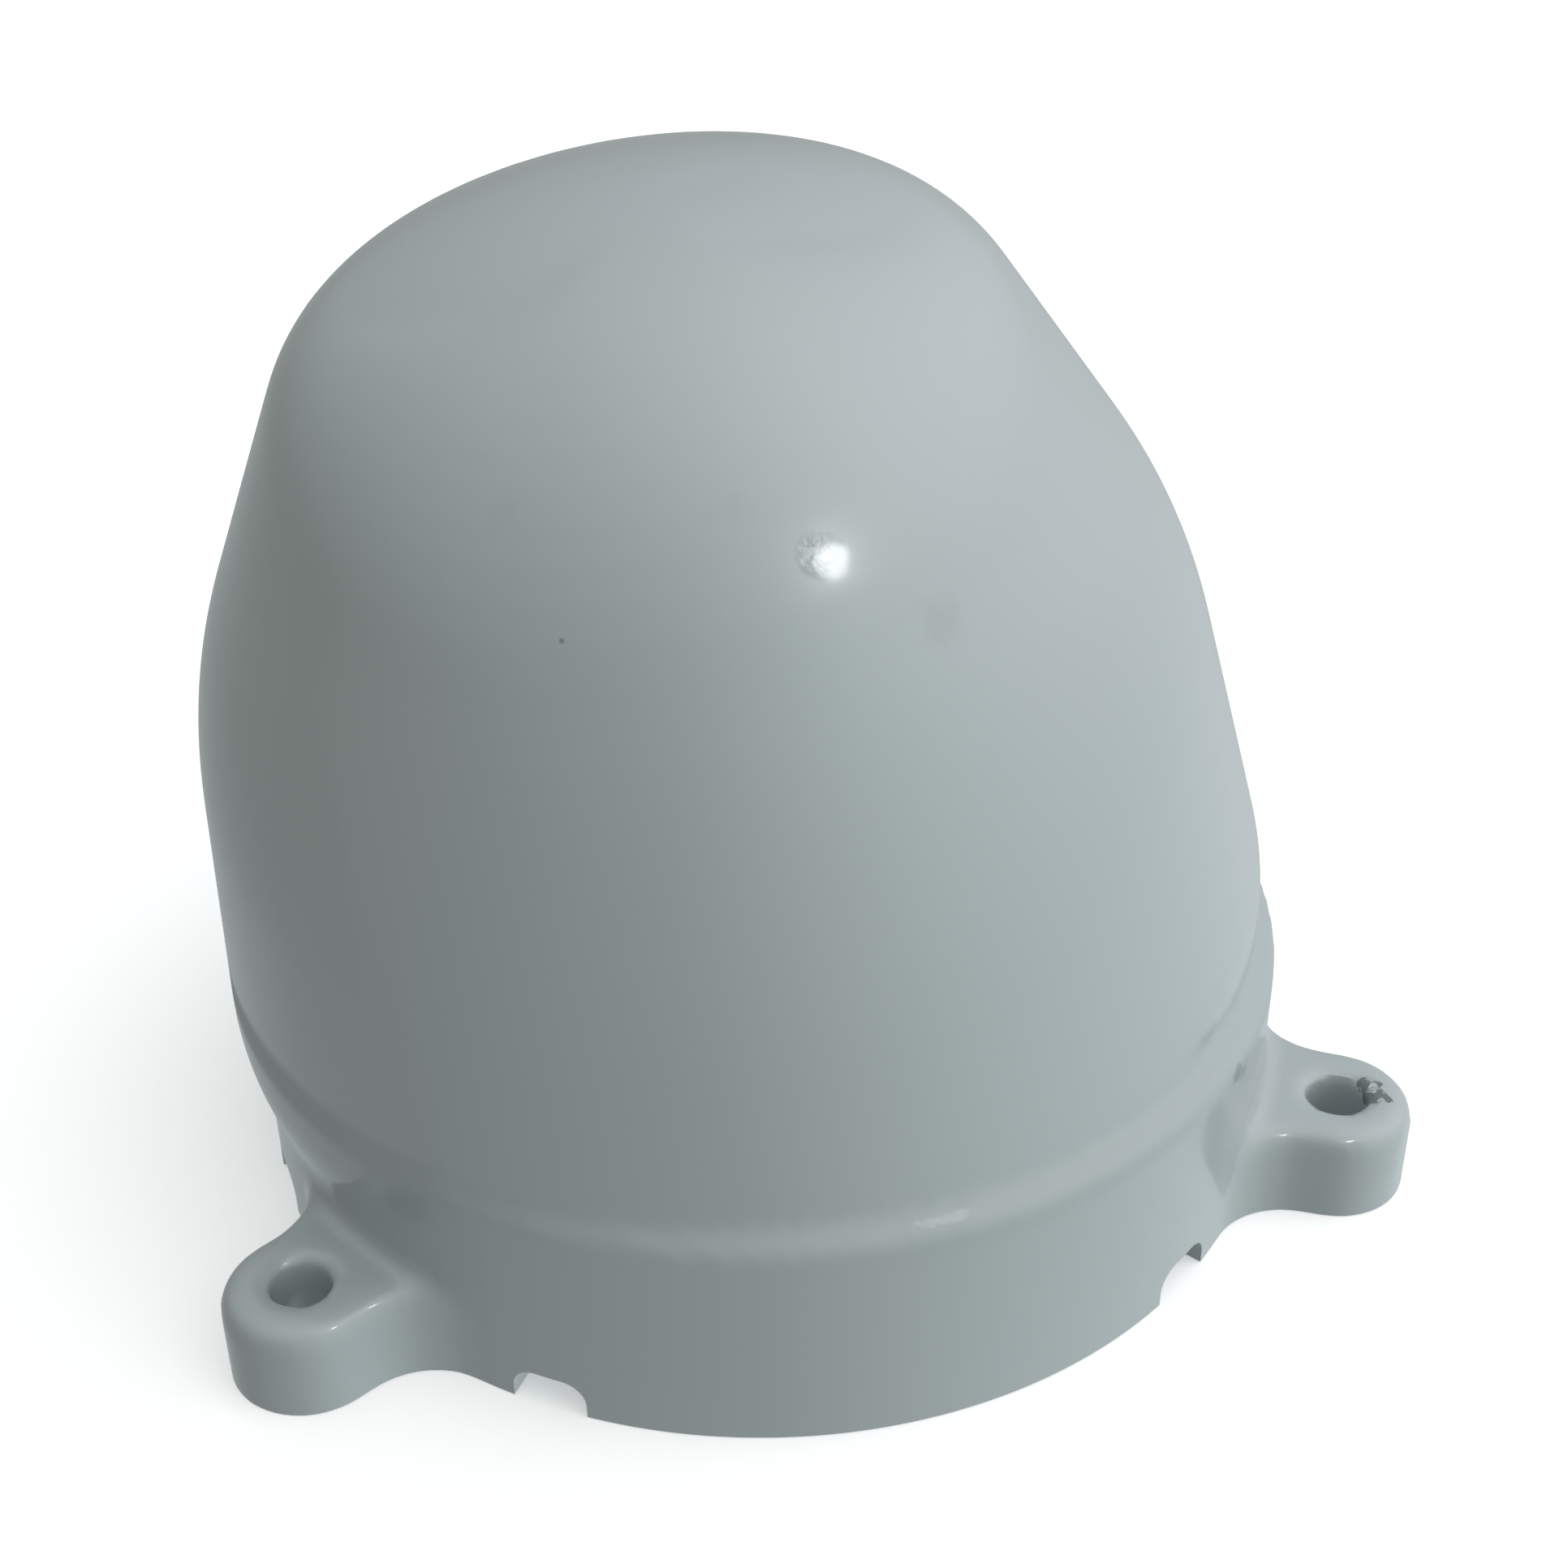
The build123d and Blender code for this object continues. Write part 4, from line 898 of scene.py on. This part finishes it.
@dataclass
class Underside:
    """What shows below: the base cover, its gasket, the cable connector and the breather plug."""

    cover_low: float = 8.0 * MM
    cover_high: float = 11.0 * MM
    cover_radius: float = 75.1 * MM
    cover_edge: float = 0.7 * MM
    recess_depth: float = 0.9 * MM
    recess_outer: float = 62.0 * MM
    recess_inner: float = 27.5 * MM
    rib_width: float = 3.0 * MM
    rib_count: int = 12
    screw_circle: float = 70.5 * MM
    screw_clear: float = 2.3 * MM
    connector_radius: float = 7.5 * MM
    connector_wall: float = 1.3 * MM
    connector_foot: float = 3.0 * MM
    connector_top: float = 20.0 * MM
    socket_floor: float = 11.0 * MM
    flange_low: float = 4.8 * MM
    flange_high: float = 6.8 * MM
    flange_radius: float = 10.0 * MM
    pin_circle: float = 3.6 * MM
    pin_radius: float = 0.6 * MM
    pin_foot: float = 6.0 * MM
    pin_count: int = 5
    vent_radius: float = 4.0 * MM
    vent_lip: float = 5.2 * MM
    key_size: Place = (1.6 * MM, 1.2 * MM, 5.0 * MM)
    thread_count: int = 8
    screw_size: float = 4.0 * MM
    screw_length: float = 16.0 * MM
    cover_finish: MouldedPlastic = MouldedPlastic(
        "cover_plastic", (0.30, 0.325, 0.33), 0.42, 0.7 * MM, 0.03 * MM
    )
    shell_finish: BareMetal = BareMetal(
        "connector_shell", (0.66, 0.65, 0.61), 0.26, 0.7 * MM, (1.0, 1.0, 8.0)
    )
    pin_finish: BareMetal = BareMetal("contact_gold", (0.85, 0.64, 0.28), 0.2, 0.4 * MM)
    vent_finish: MouldedPlastic = MouldedPlastic("vent_plastic", (0.05, 0.052, 0.055), 0.5)
    seal_finish: MouldedPlastic = MouldedPlastic(
        "seal_rubber_below", (0.02, 0.02, 0.021), 0.7, 0.3 * MM, 0.03 * MM
    )
    steel: BareMetal = BareMetal(
        "screw_steel", (0.56, 0.56, 0.55), 0.24, 0.5 * MM, (8.0, 8.0, 1.0)
    )

    def recess(self) -> Solid:
        """Make the cutter for the cover's ribbed recess."""
        low, high = self.cover_low - MM, self.cover_low + self.recess_depth
        inner, outer, soft = self.recess_inner, self.recess_outer, 0.3 * MM
        line = [(inner, low), (outer, low), (outer, high - soft), (outer - soft, high)]
        line += [(inner + soft, high), (inner, high - soft), (inner, low)]
        cutter = Bench.spun("recess", line, steps=144)
        rib_size = (outer - inner + 4 * MM, self.rib_width, 4 * MM)
        for rib in range(self.rib_count):
            angle = 360.0 * rib / self.rib_count
            middle = (*polar((inner + outer) / 2, angle), self.cover_low)
            keep = Bench.block("rib", rib_size, middle, math.radians(angle))
            Bench.combine(cutter, [keep], Join.CUT)
        for place, radius in self.pads():
            pad = Bench.cylinder("pad", radius, low - MM, high + MM, place, 64)
            Bench.combine(cutter, [pad], Join.CUT)
        return cutter

    def pads(self) -> list[tuple[tuple[float, float], float]]:
        """Return the places and radii of the flat pads left in the recess."""
        plug, vent = middle_of("cable_connector"), middle_of("vent_plug")
        motor = middle_of("azimuth_motor")
        return [
            ((plug.x, plug.y), self.flange_radius + 2.5 * MM),
            ((vent.x, vent.y), self.vent_lip + 2.0 * MM),
            ((motor.x, motor.y), 9.0 * MM),
        ]

    def cover(self) -> None:
        """Model the base cover: rounded disc, recess with ribs and pads, and its holes."""
        low, high, edge = self.cover_low, self.cover_high, self.cover_edge
        disc = Bench.cylinder("base_cover", self.cover_radius, low, high, sides=180)
        Bench.bevel(disc, lambda c, d: abs(d.z) < 0.1 and abs(c.z - low) < TOUCH, edge, 4)
        Bench.combine(disc, [self.recess()], Join.CUT)
        drills = [(polar(self.screw_circle, a), self.screw_clear, 48) for a in SCREW_ANGLES]
        drills.append((middle_of("cable_connector"), self.connector_radius + 0.05 * MM, 96))
        drills.append((middle_of("vent_plug"), self.vent_radius + 0.05 * MM, 64))
        holes = [Bench.cylinder("hole", r, low - MM, high + MM, at, n) for at, r, n in drills]
        Bench.combine(disc, holes, Join.CUT)
        hand_over(disc, ("base_plate",), self.cover_finish.make())

    def connector(self) -> None:
        """Model the cable connector: threaded shell, flange with two flats, keyway and contact
        pins.
        """
        at = middle_of("cable_connector")
        foot = Vector((at.x, at.y, 0.0))
        r, bore = self.connector_radius, self.connector_radius - self.connector_wall
        start, floor, top = self.connector_foot, self.socket_floor, self.connector_top
        wide, under, over = self.flange_radius, self.flange_low, self.flange_high
        line = [(0.0, floor), (bore, floor), (bore, start + 0.4 * MM), (bore + 0.3 * MM, start)]
        line += [(r - 0.5 * MM, start), (r - 0.15 * MM, start + 0.3 * MM)]
        for turn in range(2):
            rise = start + 0.45 * MM + turn * 0.65 * MM
            line += [(r - 0.02 * MM, rise), (r - 0.42 * MM, rise + 0.32 * MM)]
        line += [(r - 0.3 * MM, under), (wide - 0.4 * MM, under), (wide, under + 0.4 * MM)]
        line += [(wide, over - 0.2 * MM), (wide - 0.2 * MM, over), (r, over)]
        for turn in range(self.thread_count):
            rise = self.cover_high + 0.3 * MM + turn * MM
            line += [(r, rise), (r - 0.45 * MM, rise + 0.5 * MM)]
        line += [(r, top - 0.6 * MM), (r - 0.6 * MM, top), (0.0, top)]
        shell = Bench.spun("connector_shell", line, foot, steps=96)
        key_place = (at.x + bore - 0.1 * MM, at.y, start + 4.5 * MM)
        Bench.combine(shell, [Bench.block("key", self.key_size, key_place)], Join.ADD)
        for side in (-1, 1):
            place = (at.x + side * (wide + 0.4 * MM), at.y, (under + over) / 2)
            flat = Bench.block("flat", (2.0 * MM, 30 * MM, 3.0 * MM), place)
            Bench.combine(shell, [flat], Join.CUT)
        hand_over(shell, ("cable_connector",), self.shell_finish.make())
        self.contacts(foot)

    def contacts(self, foot: Vector) -> None:
        """Model the connector's round-nosed contact pins, standing round its axis."""
        r, low, high = self.pin_radius, self.pin_foot, self.socket_floor + 0.2 * MM
        line = [(0.0, low), (0.5 * r, low + 0.1 * r), (0.87 * r, low + 0.5 * r), (r, low + r)]
        line += [(r, high), (0.0, high)]
        pins = []
        for number in range(self.pin_count):
            x, y = polar(self.pin_circle, 360.0 * number / self.pin_count)
            pins.append(Bench.spun("pin", line, foot + Vector((x, y, 0.0)), steps=24))
        contacts = Bench.join(pins, "connector_contacts")
        hand_over(contacts, (), self.pin_finish.make())

    def seal(self) -> None:
        """Model the connector's seal as a ring with a rounded outer edge."""
        at = middle_of("connector_seal")
        low, high = self.flange_high, self.cover_low
        outer, inner = self.flange_radius - 0.3 * MM, self.connector_radius + 0.02 * MM
        third = (high - low) / 3
        line = [(inner, low), (outer - 0.4 * MM, low), (outer, low + third), (outer, high - third)]
        line += [(outer - 0.4 * MM, high), (inner, high), (inner, low)]
        foot = Vector((at.x, at.y, 0.0))
        ring = Bench.spun("connector_seal_ring", line, foot, steps=96)
        hand_over(ring, ("connector_seal",), self.seal_finish.make())

    def vent(self) -> None:
        """Model the breather plug with its rounded rim, sunk middle and four holes."""
        at = middle_of("vent_plug")
        low, high = self.cover_low, self.cover_high + MM
        r, lip = self.vent_radius, self.vent_lip
        line = [(0.0, low + 0.5 * MM), (2.9 * MM, low + 0.5 * MM), (3.1 * MM, low)]
        line += [(r - 0.3 * MM, low), (r, low + 0.3 * MM), (r, self.cover_high)]
        line += [(lip, self.cover_high), (lip, high - 0.3 * MM), (lip - 0.3 * MM, high)]
        line += [(0.0, high)]
        plug = Bench.spun("breather_plug", line, Vector((at.x, at.y, 0.0)), steps=64)
        holes = []
        for angle in range(0, 360, 90):
            x, y = polar(2.0 * MM, angle)
            top = self.cover_high - 0.8 * MM
            holes.append(Bench.cylinder("hole", 0.6 * MM, low - MM, top, (at.x + x, at.y + y), 24))
        Bench.combine(plug, holes, Join.CUT)
        hand_over(plug, ("vent_plug",), self.vent_finish.make())

    def build(self) -> None:
        """Model every piece that shows below, and the cover's screws."""
        self.cover()
        self.connector()
        self.seal()
        self.vent()
        places = [Vector((*polar(self.screw_circle, a), self.cover_low)) for a in SCREW_ANGLES]
        size, length = self.screw_size, self.screw_length
        ScrewSet("base_screws", size, length, places, -UP, self.steel).build()


# carried-over pieces


@dataclass
class Mechanism:
    """The inner pieces that keep their CAD shape, and the finish of each."""

    alloy: BareMetal = BareMetal("cast_alloy", (0.62, 0.63, 0.64), 0.42, 0.9 * MM)
    steel: BareMetal = BareMetal(
        "turned_steel", (0.55, 0.55, 0.54), 0.26, 0.5 * MM, (8.0, 8.0, 1.0)
    )
    bronze: BareMetal = BareMetal("bearing_bronze", (0.62, 0.40, 0.20), 0.35, 0.7 * MM)
    plated: BareMetal = BareMetal(
        "zinc_plate", (0.68, 0.67, 0.62), 0.34, 0.8 * MM, (1.0, 1.0, 10.0)
    )
    gold: BareMetal = BareMetal("gold_patches", (0.83, 0.62, 0.28), 0.24, 0.5 * MM)
    magnet: BareMetal = BareMetal("magnet_nickel", (0.60, 0.59, 0.55), 0.2, 0.6 * MM)
    acetal: MouldedPlastic = MouldedPlastic("acetal", (0.72, 0.70, 0.63), 0.42)
    black: MouldedPlastic = MouldedPlastic("black_plastic", (0.022, 0.023, 0.025), 0.46)
    rubber: MouldedPlastic = MouldedPlastic(
        "seal_rubber", (0.030, 0.030, 0.032), 0.72, 0.3 * MM, 0.04 * MM
    )
    board: BoardLaminate = field(default_factory=BoardLaminate)

    def table(self) -> list[tuple[object, str]]:
        """Return each finish with the names of the CAD nodes that wear it."""
        return [
            (
                self.alloy,
                "bearing_pedestal turntable_plate antenna_yoke antenna_tray tilt_motor_saddle",
            ),
            (
                self.steel,
                "pedestal_screws azimuth_motor_screws board_screws azimuth_motor_shaft main_shaft "
                "thrust_washer shaft_nut retaining_ring gear_screws yoke_screws saddle_screws "
                "tray_screws tilt_pins tilt_motor_shaft board_standoffs sector_screws",
            ),
            (self.bronze, "lower_bush upper_bush"),
            (self.plated, "azimuth_motor tilt_motor shield_can connector_nut"),
            (self.gold, "array_patches slip_ring_rotor"),
            (self.magnet, "index_magnet"),
            (self.acetal, "driven_gear azimuth_pinion tilt_sector tilt_pinion"),
            (
                self.black,
                "board_capacitors board_header index_sensor slip_ring_stator feed_coupler",
            ),
            (self.rubber, "base_gasket"),
            (self.board, "main_board array_board"),
        ]

    def build(self) -> None:
        """Dress every carried-over node."""
        for finish, nodes in self.table():
            material = finish.make()
            for name in nodes.split():
                dress(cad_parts[name], material)
            LOG.info("%s: %s", material.name, nodes)


# studio


@dataclass(frozen=True)
class Glow:
    """Soft light from one side of the room, its middle given as shares of right, front and up."""

    right: float
    front: float
    up: float
    colour: Colour
    power: float = 1.0


@dataclass
class Studio:
    """A plain pale floor, soft light from the upper right, and the camera."""

    camera_place: Place = (0.0908, -0.3045, 0.2633)
    heading: float = 16.6
    pitch: float = 33.06
    roll: float = -0.99
    lens: float = 56.57
    shift: float = 0.0142
    room_level: float = 0.93
    floor_colour: Colour = (0.93, 0.93, 0.93)
    room_even: Colour = (0.172, 0.141, 0.110)
    glows: tuple[Glow, ...] = (
        Glow(1.0, 0.0, 0.0, (0.507, 0.567, 0.582)),
        Glow(0.0, 0.0, 1.0, (0.311, 0.418, 0.478)),
        Glow(0.0, 0.0, -1.0, (0.305, 0.390, 0.431)),
        Glow(0.0, -1.0, 0.0, (0.135, 0.170, 0.190)),
        Glow(1.0, 0.0, 1.0, (0.868, 0.763, 0.819), 4.0),
        Glow(1.0, 1.0, 0.0, (0.358, 0.409, 0.456), 4.0),
        Glow(0.0, 0.0, 1.0, (0.549, 0.508, 0.447), 4.0),
        Glow(1.0, 1.0, 1.0, (0.155, 0.200, 0.141), 4.0),
    )
    spark_place: Place = (0.2165, -0.1641, 0.2757)
    spark_aim: Place = (0.0242, -0.0498, 0.1246)
    spark_size: float = 0.045
    spark_power: float = 0.10
    floor_size: float = 8.0
    floor_drop: float = 0.2 * MM
    floor_shine: float = 0.35
    film: float = 36.0
    near_limit: float = 0.01

    def floor(self) -> None:
        """Lay the floor under the housing's resting face."""
        place = (0.0, 0.0, -self.floor_drop)
        bpy.ops.mesh.primitive_plane_add(size=self.floor_size, location=place)
        floor = Bench.settle(bpy.context.object, "studio_floor")
        g = Graph("studio_floor")
        soft = g.noise(0.5, 2.0)
        tone = g.mix(soft * 0.03, self.floor_colour, tuple(0.96 * c for c in self.floor_colour))
        shine = {"Emission Color": (1.0, 1.0, 1.0), "Emission Strength": self.floor_shine}
        dress(floor, g.close({"Base Color": tone, "Roughness": 0.9, **shine}))
        floor.visible_diffuse = False
        floor.visible_glossy = False

    def spark(self) -> None:
        """Hang the small round lamp that shows as one bright spot in the gloss."""
        bpy.ops.object.light_add(type="AREA", location=self.spark_place)
        lamp = bpy.context.object
        lamp.name = "spark"
        lamp.data.shape = "DISK"
        lamp.data.size = self.spark_size
        lamp.data.energy = self.spark_power
        lamp.visible_camera = False
        lamp.visible_diffuse = False
        aim = Vector(self.spark_aim) - Vector(self.spark_place)
        lamp.rotation_euler = aim.to_track_quat("-Z", "Y").to_euler()

    def world(self) -> None:
        """Light the room with an even tone and a few wide glows, with no hard edge."""
        g = Graph("studio_room", world=True)
        turn = math.radians(self.heading)
        right = Vector((math.cos(turn), math.sin(turn), 0.0))
        front = Vector((math.sin(turn), -math.cos(turn), 0.0))
        tone: object = self.room_even
        for glow in self.glows:
            aim = right * glow.right + front * glow.front + UP * glow.up
            rise = g.vector("DOT_PRODUCT", {0: g.place, 1: tuple(aim.normalized())}, "Value")
            share = rise.larger(0.0) ** glow.power
            lit = g.vector("SCALE", {0: glow.colour, "Scale": share})
            tone = g.vector("ADD", {0: tone, 1: lit})
        light = {"Color": tone, "Strength": self.room_level}
        background = g.node("ShaderNodeBackground", {}, light)
        output = g.node("ShaderNodeOutputWorld", {}, {})
        g.tree.links.new(background.outputs[0], output.inputs[0])
        bpy.context.scene.world = g.block

    def camera(self) -> None:
        """Stand the camera where it looks down on the housing."""
        bpy.ops.object.camera_add(location=(0.0, 0.0, 0.0))
        camera = bpy.context.object
        camera.name = "studio_camera"
        camera.data.sensor_width = self.film
        camera.data.lens = self.lens
        camera.data.shift_x = self.shift
        camera.data.clip_start = self.near_limit
        turn = Matrix.Rotation(math.radians(self.heading), 4, "Z")
        dip = Matrix.Rotation(math.radians(90.0 - self.pitch), 4, "X")
        tip = Matrix.Rotation(math.radians(self.roll), 4, "Z")
        camera.matrix_world = Matrix.Translation(self.camera_place) @ turn @ dip @ tip
        bpy.context.scene.camera = camera

    def build(self) -> None:
        """Set up the floor, the lights and the camera."""
        self.floor()
        self.world()
        self.spark()
        self.camera()
        bpy.context.scene.view_settings.view_transform = "Standard"
        LOG.info("studio: floor, lights and camera")


def main() -> None:
    """Build every sub-assembly in order and report it."""
    DomeHousing().build()
    Underside().build()
    Mechanism().build()
    Studio().build()


if __name__ == "__main__":
    main()
